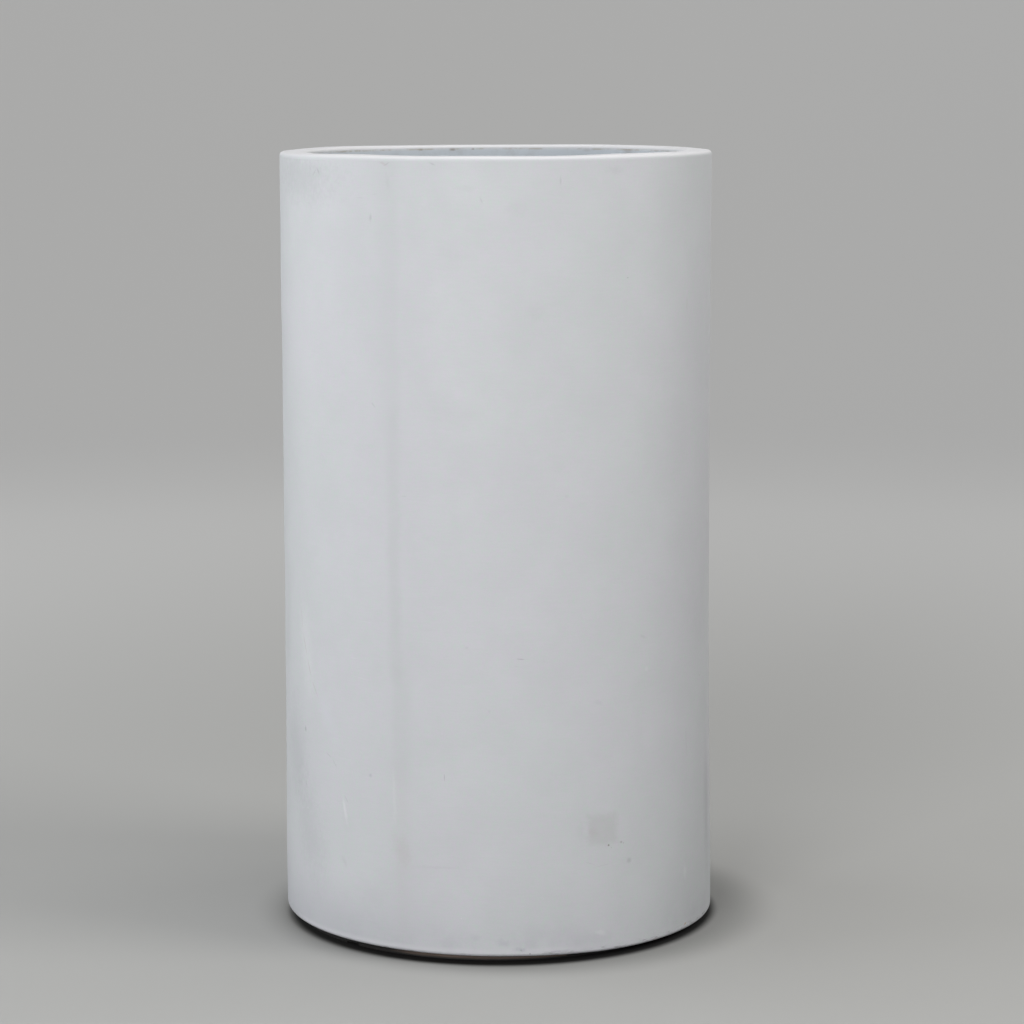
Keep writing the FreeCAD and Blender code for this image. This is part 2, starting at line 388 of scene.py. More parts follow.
class NodeSheet:
    """A material in the making, with short calls for the nodes that the finishes share."""

    MIX_FIRST = 6
    MIX_SECOND = 7
    MIX_RESULT = 2

    def __init__(self, name: str) -> None:
        """Starts a material with the usual shader.

        Args:
            name: the material's name.
        """
        self.material = bpy.data.materials.new(name)
        self.material.use_nodes = True
        self.tree = self.material.node_tree
        self.shader = self.tree.nodes["Principled BSDF"]
        self.place = self.node("ShaderNodeTexCoord").outputs["Object"]
        self.clouds: dict[tuple, Socket] = {}

    def node(self, kind: str, *feeds: Feed, **settings: object) -> bpy.types.Node:
        """Adds a node.

        Args:
            kind: Blender's name of the node.
            *feeds: what its first inputs take.
            **settings: its properties.

        Returns:
            The node.
        """
        node = self.tree.nodes.new(kind)
        for key, value in settings.items():
            setattr(node, key, value)
        for socket, value in zip(node.inputs, feeds):
            self.feed(socket, value)
        return node

    def feed(self, socket: Socket, value: Feed) -> None:
        """Links a socket to another one, or sets its value.

        Args:
            socket: an input.
            value: an output, a colour, a number or a vector.
        """
        if isinstance(value, bpy.types.NodeSocket):
            self.tree.links.new(value, socket)
        else:
            socket.default_value = value.linear() if isinstance(value, Swatch) else value

    def math(self, operation: str, first: Feed, second: Feed = 0.0, third: Feed = 0.0) -> Socket:
        """One sum, by Blender's name, on up to three numbers."""
        return self.node("ShaderNodeMath", first, second, third, operation=operation).outputs[0]

    def aside(self, vector: Feed, centre: Triple) -> Socket:
        """Coordinates counted from another place."""
        return self.node("ShaderNodeVectorMath", vector, centre, operation="SUBTRACT").outputs["Vector"]

    def dot(self, vector: Feed, along: Triple) -> Socket:
        """How far a vector goes along another one."""
        return self.node("ShaderNodeVectorMath", vector, along, operation="DOT_PRODUCT").outputs["Value"]

    def total(self, *terms: Feed) -> Socket:
        """The sum of several numbers."""
        return reduce(lambda result, term: self.math("ADD", result, term), terms)

    def product(self, *factors: Feed) -> Socket:
        """The product of several numbers."""
        return reduce(lambda result, factor: self.math("MULTIPLY", result, factor), factors)

    def ramp(self, value: Feed, low: float, high: float, start: float = 0.0, end: float = 1.0) -> Socket:
        """A soft step from start, below low, to end, above high."""
        feeds = (value, low, high, start, end)
        return self.node("ShaderNodeMapRange", *feeds, interpolation_type="SMOOTHSTEP").outputs["Result"]

    def band(
        self, value: Feed, low: float, high: float, soft: float, far_soft: float | None = None
    ) -> Socket:
        """One inside a range and nothing outside it, with soft ends.

        Args:
            value: what is measured.
            low: the range's lower end.
            high: its upper end.
            soft: the width of each soft end.
            far_soft: that of the upper one, where it is another.

        Returns:
            The mask.
        """
        far_soft = soft if far_soft is None else far_soft
        rise = self.ramp(value, low - soft / 2, low + soft / 2)
        fall = self.ramp(value, high - far_soft / 2, high + far_soft / 2, 1.0, 0.0)
        return self.product(rise, fall)

    def noise(self, cloud: Cloud) -> Socket:
        """Cloudy noise about one half, made once for each kind.

        Args:
            cloud: its size and kind.

        Returns:
            The noise.
        """
        kind = (cloud.size, cloud.detail, cloud.roughness, cloud.turn)
        if kind in self.clouds:
            return self.clouds[kind]
        place, scale = self.place, 1.0
        if isinstance(cloud.size, tuple):
            stretch = self.node("ShaderNodeMapping", vector_type="TEXTURE")
            self.feed(stretch.inputs["Vector"], place)
            stretch.inputs["Rotation"].default_value = cloud.turn
            stretch.inputs["Scale"].default_value = cloud.size
            place = stretch.outputs["Vector"]
        else:
            scale = 1.0 / cloud.size
        node = self.node("ShaderNodeTexNoise")
        inputs = {"Vector": place, "Scale": scale, "Detail": cloud.detail, "Roughness": cloud.roughness}
        for key, value in inputs.items():
            self.feed(node.inputs[key], value)
        self.clouds[kind] = node.outputs[0]
        return node.outputs[0]

    def patches(self, cloud: Cloud) -> Socket:
        """Noise that comes and goes in patches."""
        return self.ramp(self.noise(cloud), cloud.low, cloud.high, cloud.start, cloud.end)

    def waver(self, cloud: Cloud, height: float) -> Socket:
        """Noise about zero, of a given height."""
        return self.product(self.math("SUBTRACT", self.noise(cloud), 0.5), height)

    def mix(self, factor: Feed, first: Feed, second: Feed, blend: Blend = Blend.OVER) -> Socket:
        """Lays the second colour over the first.

        Args:
            factor: how much of the second shows.
            first: the colour below.
            second: the colour above.
            blend: how it is laid.

        Returns:
            The colour.
        """
        node = self.node("ShaderNodeMix", factor, data_type="RGBA", blend_type=blend.value)
        self.feed(node.inputs[self.MIX_FIRST], first)
        self.feed(node.inputs[self.MIX_SECOND], second)
        return node.outputs[self.MIX_RESULT]

    def shaded(self, colour: Feed, share: Feed) -> Socket:
        """A colour of which only a share is left."""
        grey = self.node("ShaderNodeCombineColor", share, share, share).outputs[0]
        return self.mix(1.0, colour, grey, Blend.TIMES)

    def bump(self, height: Feed, distance: float, normal: Socket | None = None) -> Socket:
        """A surface that a height lifts.

        Args:
            height: from 0 to 1.
            distance: how far 1 lifts it.
            normal: a bump below this one.

        Returns:
            The normal.
        """
        node = self.node("ShaderNodeBump")
        for key, value in {"Height": height, "Distance": distance, "Strength": 1.0}.items():
            self.feed(node.inputs[key], value)
        if normal is not None:
            self.feed(node.inputs["Normal"], normal)
        return node.outputs["Normal"]

    def parts(self, vector: Feed) -> tuple[Socket, ...]:
        """The x, y and z of a vector."""
        return tuple(self.node("ShaderNodeSeparateXYZ", vector).outputs)

    def vector(self, x: Feed, y: Feed, z: Feed = 0.0) -> Socket:
        """A vector of three numbers."""
        return self.node("ShaderNodeCombineXYZ", x, y, z).outputs[0]

    def level(self) -> Socket:
        """The height above the floor."""
        return self.parts(self.place)[2]

    def facing(self) -> Socket:
        """How far the surface faces up."""
        return self.parts(self.node("ShaderNodeNewGeometry").outputs["Normal"])[2]

    def radius(self, centre: tuple[float, float] | None = None) -> Socket:
        """The distance from an upright axis.

        Args:
            centre: where it stands, if it isn't the planter's own.

        Returns:
            The distance.
        """
        x, y, _ = self.parts(self.place)
        if centre is not None:
            x, y = self.math("SUBTRACT", x, centre[0]), self.math("SUBTRACT", y, centre[1])
        return self.math("SQRT", self.total(self.product(x, x), self.product(y, y)))

    def bearing(self) -> Socket:
        """The bearing of the surface."""
        x, y, _ = self.parts(self.place)
        return self.math("ARCTAN2", x, self.product(y, -1.0))

    def finish(self, colour: Feed, roughness: Feed, normal: Socket | None = None) -> Material:
        """Feeds the shader.

        Args:
            colour: the surface's colour.
            roughness: its roughness.
            normal: its bumps.

        Returns:
            The material.
        """
        self.feed(self.shader.inputs["Base Color"], colour)
        self.feed(self.shader.inputs["Roughness"], roughness)
        if normal is not None:
            self.feed(self.shader.inputs["Normal"], normal)
        return self.material


# ---------------------------------------------------------------------------------------------
# Marks on the coat
# ---------------------------------------------------------------------------------------------


class MarkEdge(Enum):
    """The outline of a mark."""

    OVAL = "oval"
    BLOCK = "block"


@dataclass(frozen=True)
class Mark:
    """A stain, scratch or scuff on the wall, or a patch of painted shade or painted highlight, placed by the
    photograph's pixels.

    It runs from start to end, and is `width` across. `softness` is the share of its half width
    that its edge takes, and `raggedness` the share that noise moves that edge.
    """

    start: Pixel
    end: Pixel
    width: float
    colour: Swatch
    strength: float
    softness: float = 0.6
    raggedness: float = 0.35
    edge: MarkEdge = MarkEdge.OVAL

    def reaches(self, low: float, high: float) -> bool:
        """Whether any of the mark lies between two bearings.

        Args:
            low: the lower bearing.
            high: the higher one.

        Returns:
            Whether it does.
        """
        bearings = [PHOTO.on_wall(pixel, SIZES.rim_radius)[0] for pixel in (self.start, self.end)]
        spread = self.width / SIZES.rim_radius
        return min(bearings) - spread < high and max(bearings) + spread > low

    def mask(self, sheet: NodeSheet, wall_place: Socket, rough: Socket) -> Socket:
        """Where the mark covers the wall.

        Args:
            sheet: the material.
            wall_place: (arc, level) of the surface.
            rough: noise about zero, which breaks up the outline.

        Returns:
            The mask, times the mark's strength.
        """
        places = [PHOTO.on_wall(pixel, SIZES.rim_radius) for pixel in (self.start, self.end)]
        (arc_0, level_0), (arc_1, level_1) = [(b * SIZES.rim_radius, level) for b, level in places]
        along = math.hypot(arc_1 - arc_0, level_1 - level_0)
        turn = math.atan2(level_1 - level_0, arc_1 - arc_0)
        offset = sheet.aside(wall_place, ((arc_0 + arc_1) / 2, (level_0 + level_1) / 2, 0.0))
        half_length, half_width = (along + self.width) / 2, self.width / 2
        run = sheet.dot(offset, (math.cos(turn) / half_length, math.sin(turn) / half_length, 0.0))
        rise = sheet.dot(offset, (-math.sin(turn) / half_width, math.cos(turn) / half_width, 0.0))
        if self.edge is MarkEdge.OVAL:
            distance = sheet.math("SQRT", sheet.math("MULTIPLY_ADD", run, run, sheet.product(rise, rise)))
        else:
            distance = sheet.math("MAXIMUM", sheet.math("ABSOLUTE", run), sheet.math("ABSOLUTE", rise))
        ragged = sheet.math("MULTIPLY_ADD", rough, self.raggedness, distance)
        return sheet.ramp(ragged, 1.0 - self.softness, 1.0, self.strength, 0.0)


def dab(at: Pixel, width: float, colour: Swatch, strength: float, **edges: float) -> Mark:
    """A round mark.

    Args:
        at: its middle.
        width: its size.
        colour: its colour.
        strength: how much of the coat it hides.
        **edges: softness and raggedness.

    Returns:
        The mark.
    """
    return Mark(at, at, width, colour, strength, **edges)


RUST = Swatch(150, 105, 92)
UMBER = Swatch(96, 74, 62)
SOOT = Swatch(70, 72, 78)
GREY_SMEAR_AND_SHADE = Swatch(168, 171, 174)
GREEN_SHADE = Swatch(186, 194, 192)
PALE = Swatch(246, 247, 250)
LILAC = Swatch(232, 231, 243)
VIOLET = Swatch(120, 112, 150)
OCHRE = Swatch(196, 148, 70)
BLUSH = Swatch(176, 152, 148)
RESIDUE = Swatch(146, 140, 132)

RIM_SMUDGES_AND_SHADE = (
    # painted shade: a broad soft grey under the rim on the left
    Mark((284, 172), (332, 180), 88 * MM, GREY_SMEAR_AND_SHADE, 0.24, 1.0, 0.4),
    Mark((308, 163.5), (312, 172.5), 2.4 * MM, GREY_SMEAR_AND_SHADE, 0.19, 1.0, 0.3),
    Mark((312.5, 176), (316.4, 168), 3.4 * MM, GREY_SMEAR_AND_SHADE, 0.35, 1.0, 0.3),
    Mark((316.6, 168), (320, 175), 3.4 * MM, GREY_SMEAR_AND_SHADE, 0.35, 1.0, 0.3),
    Mark((379, 161.5), (387, 165.5), 5 * MM, BLUSH, 0.20, 1.0, 0.4),
    Mark((384, 166), (390, 161.5), 2.2 * MM, GREY_SMEAR_AND_SHADE, 0.30, 1.0, 0.4),
    Mark((429, 162.5), (436, 165.5), 2.8 * MM, GREY_SMEAR_AND_SHADE, 0.32, 1.0, 0.4),
    Mark((370.5, 213), (370.5, 222), 4.5 * MM, GREY_SMEAR_AND_SHADE, 0.27, 1.0, 0.4),
    Mark((386.5, 176), (388, 190), 9 * MM, GREEN_SHADE, 0.15, 1.0, 0.5),
    Mark((455, 188), (476, 189), 12 * MM, GREEN_SHADE, 0.11, 1.0, 0.5),
    Mark((479.6, 196), (482.4, 203.5), 3.2 * MM, GREY_SMEAR_AND_SHADE, 0.30, 1.0, 0.4),
    Mark((353, 197.7), (366, 197.9), 1.0 * MM, GREY_SMEAR_AND_SHADE, 0.16, 0.9, 0.4),
    Mark((371, 194.6), (379, 193.6), 1.0 * MM, GREY_SMEAR_AND_SHADE, 0.16, 0.9, 0.4),
    dab((515.5, 209.5), 34 * MM, GREEN_SHADE, 0.09, softness=1.0),
    Mark((560.5, 177), (560.7, 185.5), 3.4 * MM, GREY_SMEAR_AND_SHADE, 0.27, 1.0, 0.4),
    Mark((607, 170), (623, 170.5), 12 * MM, GREY_SMEAR_AND_SHADE, 0.12, 1.0, 0.5),
    dab((628.3, 277.6), 2.6 * MM, SOOT, 0.34, softness=0.8),
    Mark((687.3, 295), (687.3, 311), 3 * MM, BLUSH, 0.16, 1.0, 0.4),
)

MIDDLE_MARKS = (
    Mark((371, 402), (375.5, 408), 3 * MM, GREY_SMEAR_AND_SHADE, 0.24, 1.0, 0.3),
    Mark((398, 496), (408, 496.4), 1.6 * MM, GREY_SMEAR_AND_SHADE, 0.22, 0.9, 0.3),
    dab((535, 313), 34 * MM, GREEN_SHADE, 0.09, softness=1.0),
    dab((566.7, 496.7), 7 * MM, GREY_SMEAR_AND_SHADE, 0.10, softness=1.0),
    Mark((355.5, 620), (376, 623), 1.1 * MM, PALE, 0.30, 0.9, 0.3),
    Mark((349, 657), (360, 659), 1.1 * MM, PALE, 0.30, 0.9, 0.3),
    Mark((351, 675), (376, 682), 1.4 * MM, PALE, 0.22, 0.9, 0.4),
    dab((466.7, 648), 6 * MM, GREY_SMEAR_AND_SHADE, 0.12, softness=1.0),
    dab((489, 711.7), 6 * MM, GREY_SMEAR_AND_SHADE, 0.12, softness=1.0),
    Mark((516.5, 659), (525.5, 659.4), 1.7 * MM, SOOT, 0.30, 0.8, 0.3),
    Mark((513.5, 666), (519.5, 666.3), 1.2 * MM, GREY_SMEAR_AND_SHADE, 0.18, 0.9, 0.3),
    Mark((640, 636), (647, 637.5), 6 * MM, GREY_SMEAR_AND_SHADE, 0.16, 1.0, 0.4),
    dab((646.5, 669), 8 * MM, PALE, 0.30, softness=1.0),
    Mark((594, 702), (602, 704), 8 * MM, VIOLET, 0.06, 1.0, 0.4),
    Mark((637, 690), (638, 780), 30 * MM, GREY_SMEAR_AND_SHADE, 0.04, 1.0, 0.7),
    Mark((444.6, 773), (444.8, 781.5), 1.5 * MM, SOOT, 0.28, 0.8, 0.3),
    dab((461.7, 918), 1.8 * MM, PALE, 0.55, softness=0.8),
)

LEFT_MARKS = (
    # painted shade: a darker greenish strip down the left edge, where it turns from the light
    Mark((289.5, 560), (289.5, 690), 40 * MM, GREEN_SHADE, 0.12, 0.9, 0.25),
    # painted shade: broad grey over the lower left, below the crease of the bulge
    Mark((297, 716), (299, 776), 96 * MM, GREY_SMEAR_AND_SHADE, 0.18, 0.9, 0.25),
    # painted highlights: pale and lilac over the lit side of the bulge, above its crease
    Mark((303, 600), (311, 690), 44 * MM, PALE, 0.26, 0.9, 0.35),
    Mark((320, 690), (338, 744), 36 * MM, LILAC, 0.26, 1.0, 0.4),
    Mark((301.6, 604), (303.6, 631), 1.8 * MM, RUST, 0.16, 0.9, 0.35),
    Mark((303.6, 631), (308.4, 657), 2.0 * MM, RUST, 0.24, 0.8, 0.3),
    Mark((308.4, 657), (313, 679), 2.0 * MM, RUST, 0.24, 0.8, 0.3),
    Mark((313, 679), (319.5, 699), 2.2 * MM, RUST, 0.20, 0.9, 0.4),
    Mark((307.0, 725.4), (307.3, 732.6), 2.0 * MM, SOOT, 0.62, 0.7, 0.25),
    Mark((326.5, 751.5), (333, 758), 1.6 * MM, GREY_SMEAR_AND_SHADE, 0.30, 0.9, 0.3),
    Mark((333, 758), (338.5, 769), 1.6 * MM, GREY_SMEAR_AND_SHADE, 0.30, 0.9, 0.3),
    Mark((307.2, 780), (307.5, 785), 1.6 * MM, SOOT, 0.22, 0.8, 0.3),
    dab((308.9, 807.3), 3.4 * MM, PALE, 0.70, softness=0.8),
    dab((312.4, 835), 2.6 * MM, PALE, 0.55, softness=0.8),
    # painted highlight: a pale streak along the small ridge here
    Mark((343.5, 792), (349, 827), 7 * MM, PALE, 0.42, 0.9, 0.3),
    Mark((344.8, 793), (350, 804), 1.2 * MM, SOOT, 0.16, 0.8, 0.3),
    dab((371.2, 775.2), 7 * MM, VIOLET, 0.20, softness=1.0),
    # painted shade: broad grey over the lower left, below the crease of the bulge
    Mark((304, 790), (320, 872), 96 * MM, GREY_SMEAR_AND_SHADE, 0.17, 1.0, 0.35),
    Mark((344, 856), (348, 866), 10 * MM, GREEN_SHADE, 0.20, 1.0, 0.4),
    Mark((362, 886), (380, 900), 44 * MM, GREY_SMEAR_AND_SHADE, 0.07, 1.0, 0.5),
    Mark((398, 838), (408, 864), 32 * MM, BLUSH, 0.09, 1.0, 0.5),
    Mark((412, 866), (470, 867), 6 * MM, GREY_SMEAR_AND_SHADE, 0.09, 1.0, 0.6),
)

RESIDUE_MARKS = (
    Mark((600.8, 829.1), (603.2, 828.8), 46 * MM, RESIDUE, 0.13, 0.5, 0.14, MarkEdge.BLOCK),
    Mark((589, 830), (596, 834), 14 * MM, RUST, 0.07, 1.0, 0.4),
    Mark((579, 824), (583, 842), 16 * MM, GREY_SMEAR_AND_SHADE, 0.08, 1.0, 0.5),
    dab((607.9, 844.9), 3.4 * MM, UMBER, 0.60, softness=0.7, raggedness=0.2),
    dab((610.6, 847.2), 2.2 * MM, UMBER, 0.25, softness=0.9, raggedness=0.2),
    dab((620.3, 841.6), 4.2 * MM, UMBER, 0.34, softness=0.9),
    dab((622.6, 842.6), 2.4 * MM, UMBER, 0.26, softness=0.9),
    dab((628.4, 859.6), 10 * MM, GREY_SMEAR_AND_SHADE, 0.34, softness=1.0),
    Mark((583, 861), (596, 865), 0.9 * MM, GREY_SMEAR_AND_SHADE, 0.22, 0.9, 0.4),
    Mark((590, 868), (610, 863), 0.9 * MM, GREY_SMEAR_AND_SHADE, 0.20, 0.9, 0.4),
)

FOOT_MARKS = (
    # painted shade: grey and a violet line over the bottom-left corner, where the edge turns down from the
    # light
    Mark((288, 902), (308, 922), 30 * MM, GREY_SMEAR_AND_SHADE, 0.44, 1.0, 0.3),
    Mark((300, 916), (330, 932), 4 * MM, VIOLET, 0.14, 1.0, 0.4),
    Mark((472, 936.5), (480, 938), 12 * MM, VIOLET, 0.08, 1.0, 0.5),
    Mark((498, 942), (508, 943), 13 * MM, VIOLET, 0.12, 1.0, 0.5),
    Mark((513, 949), (529, 950), 8 * MM, VIOLET, 0.18, 1.0, 0.6),
    dab((529.8, 953.4), 2.6 * MM, SOOT, 0.55, softness=0.8),
    dab((521, 950), 3.4 * MM, SOOT, 0.24, softness=1.0),
    Mark((548, 951), (575, 949.3), 3.4 * MM, VIOLET, 0.16, 1.0, 0.5),
    Mark((650, 939.5), (658, 937), 3.4 * MM, BLUSH, 0.34, 1.0, 0.4),
    Mark((682.6, 924.4), (684.4, 922.2), 2.6 * MM, OCHRE, 0.60, 0.7, 0.2),
    Mark((594, 931), (606, 933), 9 * MM, PALE, 0.26, 1.0, 0.4),
)

RIGHT_MARKS = (
    Mark((685.7, 720), (685.9, 760), 1.6 * MM, SOOT, 0.14, 0.9, 0.4),
    dab((700, 675), 2.6 * MM, RUST, 0.36, softness=0.9),
    dab((698.3, 806.7), 2.6 * MM, GREY_SMEAR_AND_SHADE, 0.36, softness=0.9),
    Mark((683.3, 867), (683.3, 876), 11 * MM, PALE, 0.30, 1.0, 0.3),
    # painted dark reflection: a broad grey down the lower right edge
    Mark((705, 730), (705, 880), 44 * MM, GREY_SMEAR_AND_SHADE, 0.24, 1.0, 0.3),
)

COAT_MARKS = (*RIM_SMUDGES_AND_SHADE, *MIDDLE_MARKS, *LEFT_MARKS, *RESIDUE_MARKS, *FOOT_MARKS, *RIGHT_MARKS)


@dataclass(frozen=True)
class SeamStretch:
    """One stretch of the seam as it ghosts through the coat, placed by the photograph's pixels.

    `left_soft` and `right_soft` are the widths over which its sides fade, and `fade` that of its
    ends.
    """

    top: float
    bottom: float
    left: float
    right: float
    colour: Swatch
    strength: float
    left_soft: float = 6 * MM
    right_soft: float = 6 * MM
    fade: float = 36 * MM

    def mask(self, sheet: NodeSheet, across: Socket, level: Socket) -> Socket:
        """Where the stretch shows.

        Args:
            sheet: the material.
            across: the distance round from the seam's own line.
            level: the height of the surface.

        Returns:
            The mask, times the stretch's strength.
        """
        middle = (self.top + self.bottom) / 2
        left, right = (self._across(x, middle) for x in (self.left, self.right))
        low, high = (PHOTO.on_wall((self.left, y), SIZES.rim_radius)[1] for y in (self.bottom, self.top))
        shown = sheet.band(across, left, right, self.left_soft, self.right_soft)
        return sheet.product(shown, sheet.band(level, low, high, self.fade), self.strength)

    @staticmethod
    def _across(x: float, y: float) -> float:
        """The distance round from the seam's own line to a pixel's place."""
        bearing, _ = PHOTO.on_wall((x, y), SIZES.rim_radius)
        return (bearing - SIZES.seam_bearing) * SIZES.rim_radius


SEAM_SHADE = Swatch(204, 209, 209)
SEAM_STRETCHES = (
    SeamStretch(100, 425, 380, 397, SEAM_SHADE, 0.17, 26 * MM, 12 * MM),
    SeamStretch(415, 680, 388, 400, SEAM_SHADE, 0.27, 14 * MM, 12 * MM),
    SeamStretch(662, 775, 393, 410, SEAM_SHADE, 0.24, 12 * MM, 18 * MM),
    SeamStretch(771, 820, 394.2, 396.2, PALE, 0.24, 4 * MM, 4 * MM, 30 * MM),
    SeamStretch(770, 940, 397, 410, BLUSH, 0.06, 18 * MM, 22 * MM),
)


# ---------------------------------------------------------------------------------------------
# Finishes
# ---------------------------------------------------------------------------------------------


@dataclass(frozen=True)
class PaintedFloorShadow:
    """A painted shadow on the floor, in a ring close round the foot.

    It fades over the two distances of `reach` beyond the wall, lies `shift` off the axis, away
    from the lights, and leaves the share `dark` of the floor's colour under the foot.
    """

    reach: tuple[float, float]
    shift: tuple[float, float]
    dark: float

    def share(self, sheet: NodeSheet) -> Socket:
        """The share of the floor's colour that is left at each place."""
        near, far = (SIZES.foot_radius + reach for reach in self.reach)
        return sheet.ramp(sheet.radius(self.shift), near, far, self.dark, 1.0)


@dataclass(frozen=True)
class FloorPaint:
    """The studio's pale floor, whose sweep glows faintly, as one lit from behind does, with a painted shadow
    round the planter's foot.
    """

    colour: Swatch = Swatch(188, 188, 186)
    bounce: Swatch = Swatch(63, 63, 62)
    glow: float = 0.24
    glow_from: float = 0.3
    glow_full: float = 3.6
    roughness: float = 0.7
    contact_shadow: PaintedFloorShadow = PaintedFloorShadow((-8 * MM, 7 * MM), (4 * MM, -5 * MM), 0.03)
    wide_shadow: PaintedFloorShadow = PaintedFloorShadow((-6 * MM, 70 * MM), (22 * MM, 4 * MM), 0.62)

    def material(self) -> Material:
        """Makes the material, which throws less light back than it shows, as a dark room does.

        Returns:
            The material.
        """
        sheet = NodeSheet("studio_floor")
        onto_planter = sheet.node("ShaderNodeLightPath").outputs["Is Diffuse Ray"]
        colour = sheet.mix(onto_planter, self.colour, self.bounce)
        # painted shadow: a dark contact ring under the foot and a wider, fainter one beyond it
        colour = sheet.shaded(colour, sheet.product(self.contact_shadow.share(sheet), self.wide_shadow.share(sheet)))
        lit = sheet.ramp(sheet.radius(), self.glow_from, self.glow_full, 0.0, self.glow)
        sheet.shader.inputs["Emission Color"].default_value = WHITE
        sheet.feed(sheet.shader.inputs["Emission Strength"], lit)
        sheet.material.cycles.emission_sampling = "NONE"
        return sheet.finish(colour, self.roughness)


@dataclass(frozen=True)
class WhiteCoat:
    """The sprayed white coat outside, with the wear that the photograph shows and some painted shade and
    painted highlights.

    A fade holds two levels or bearings, and what it gives below the first and above the second.
    """

    cool: Swatch = Swatch(225.5, 226.5, 231.5)
    green: Swatch = Swatch(224, 227, 230)
    violet_fleck: Swatch = Swatch(230, 224, 236)
    green_fleck: Swatch = Swatch(218, 232, 226)
    foot_grime: Swatch = Swatch(176, 174, 186)
    foot_painted_shade: Swatch = Swatch(172, 175, 182)
    scuff: Swatch = Swatch(98, 92, 96)
    rolled_edge_highlight: Swatch = Swatch(236, 234, 240)
    veil: Cloud = Cloud(150 * MM, 3.0, 0.55, 0.38, 0.62)
    violet_flecks: Cloud = Cloud((4 * MM, 4 * MM, 6 * MM), 2.0, 0.7, 0.50, 0.74, 0.0, 0.55)
    green_flecks: Cloud = Cloud((4 * MM, 4 * MM, 6 * MM), 2.0, 0.7, 0.26, 0.50, 0.55, 0.0)
    thinner: Cloud = Cloud(60 * MM, 4.0, 0.6, 0.3, 0.7, 0.972, 1.0)
    strokes: Cloud = Cloud((14 * MM, 14 * MM, 2.2 * MM), 2.0, 0.6)
    strokes_depth: float = 0.035
    grain: Cloud = Cloud(1.6 * MM, 1.0)
    grain_depth: float = 0.03
    print_through: Cloud = Cloud((30 * MM, 30 * MM, 5 * MM), 3.0, 0.6)
    print_height: float = 0.10 * MM
    peel: Cloud = Cloud(3.5 * MM, 2.0, 0.6)
    peel_height: float = 0.05 * MM
    roughness: float = 0.58
    dulling: Cloud = Cloud(40 * MM, 3.0, 0.6, 0.3, 0.7, 0.52, 0.66)
    mark_edges: Cloud = Cloud(7 * MM, 3.0, 0.7)
    mark_edges_depth: float = 3.0
    seam_sway: Cloud = Cloud(40 * MM, 4.0, 0.6)
    seam_sway_width: float = 14 * MM
    seam_thinning: Cloud = Cloud(30 * MM, 4.0, 0.65, 0.32, 0.62, 0.45, 1.0)
    foot_painted_shade_fade: Fade = (8 * MM, 95 * MM, 0.34, 0.0)
    foot_painted_shade_side: Fade = (-0.85, 0.0, 1.0, 0.25)
    grime: Cloud = Cloud(45 * MM, 4.0, 0.65, 0.42, 0.72)
    grime_fade: Fade = (16 * MM, 60 * MM, 1.0, 0.0)
    grime_strength: float = 0.18
    rolled_highlight_band: Triple = (12 * MM, 18 * MM, 5 * MM)
    rolled_highlight_side: Fade = (0.1, 0.55, 0.34, 0.08)
    knocks: Cloud = Cloud((16 * MM, 16 * MM, 3 * MM), 3.0, 0.7, 0.50, 0.70)
    knocks_fade: Fade = (10 * MM, 15 * MM, 1.0, 0.0)
    knocks_strength: float = 0.45
    marks: tuple[Mark, ...] = COAT_MARKS
    seam: tuple[SeamStretch, ...] = SEAM_STRETCHES

    def tone(self, sheet: NodeSheet) -> Socket:
        """The cloudy white, before any mark.

        Args:
            sheet: the material.

        Returns:
            The colour.
        """
        colour = sheet.mix(sheet.patches(self.veil), self.cool, self.green)
        colour = sheet.mix(sheet.patches(self.violet_flecks), colour, self.violet_fleck)
        colour = sheet.mix(sheet.patches(self.green_flecks), colour, self.green_fleck)
        strokes = sheet.waver(self.strokes, self.strokes_depth)
        grain = sheet.waver(self.grain, self.grain_depth)
        return sheet.shaded(colour, sheet.total(sheet.patches(self.thinner), strokes, grain))

    def relief(self, sheet: NodeSheet) -> Socket:
        """Spray texture over a faint print of the mat below it."""
        normal = sheet.bump(sheet.noise(self.print_through), self.print_height)
        return sheet.bump(sheet.noise(self.peel), self.peel_height, normal)

    def wall(self, name: str, low: float, high: float) -> Material:
        """The coat on one stretch of the wall, with the marks that lie on it.

        Args:
            name: the material's name.
            low: the bearing where the stretch begins.
            high: the bearing where it ends.

        Returns:
            The material.
        """
        sheet = NodeSheet(name)
        level = sheet.level()
        wall_place = sheet.vector(sheet.product(sheet.bearing(), SIZES.rim_radius), level)
        rough = sheet.waver(self.mark_edges, self.mark_edges_depth)
        colour = self._seam(sheet, self.tone(sheet), level)
        colour = self._foot(sheet, colour, level)
        for mark in (mark for mark in self.marks if mark.reaches(low, high)):
            colour = sheet.mix(mark.mask(sheet, wall_place, rough), colour, mark.colour)
        return sheet.finish(colour, sheet.patches(self.dulling), self.relief(sheet))

    def _seam(self, sheet: NodeSheet, colour: Socket, level: Socket) -> Socket:
        """The two seams ghosting through the coat.

        Args:
            sheet: the material.
            colour: the coat's colour.
            level: the height of the surface.

        Returns:
            The colour with the seams in it.
        """
        turned = sheet.math("SUBTRACT", sheet.bearing(), SIZES.seam_bearing)
        across = sheet.product(sheet.math("SINE", turned), SIZES.rim_radius)
        across = sheet.total(across, sheet.waver(self.seam_sway, self.seam_sway_width))
        thinning = sheet.patches(self.seam_thinning)
        for stretch in self.seam:
            shown = sheet.product(stretch.mask(sheet, across, level), thinning)
            colour = sheet.mix(shown, colour, stretch.colour)
        return colour

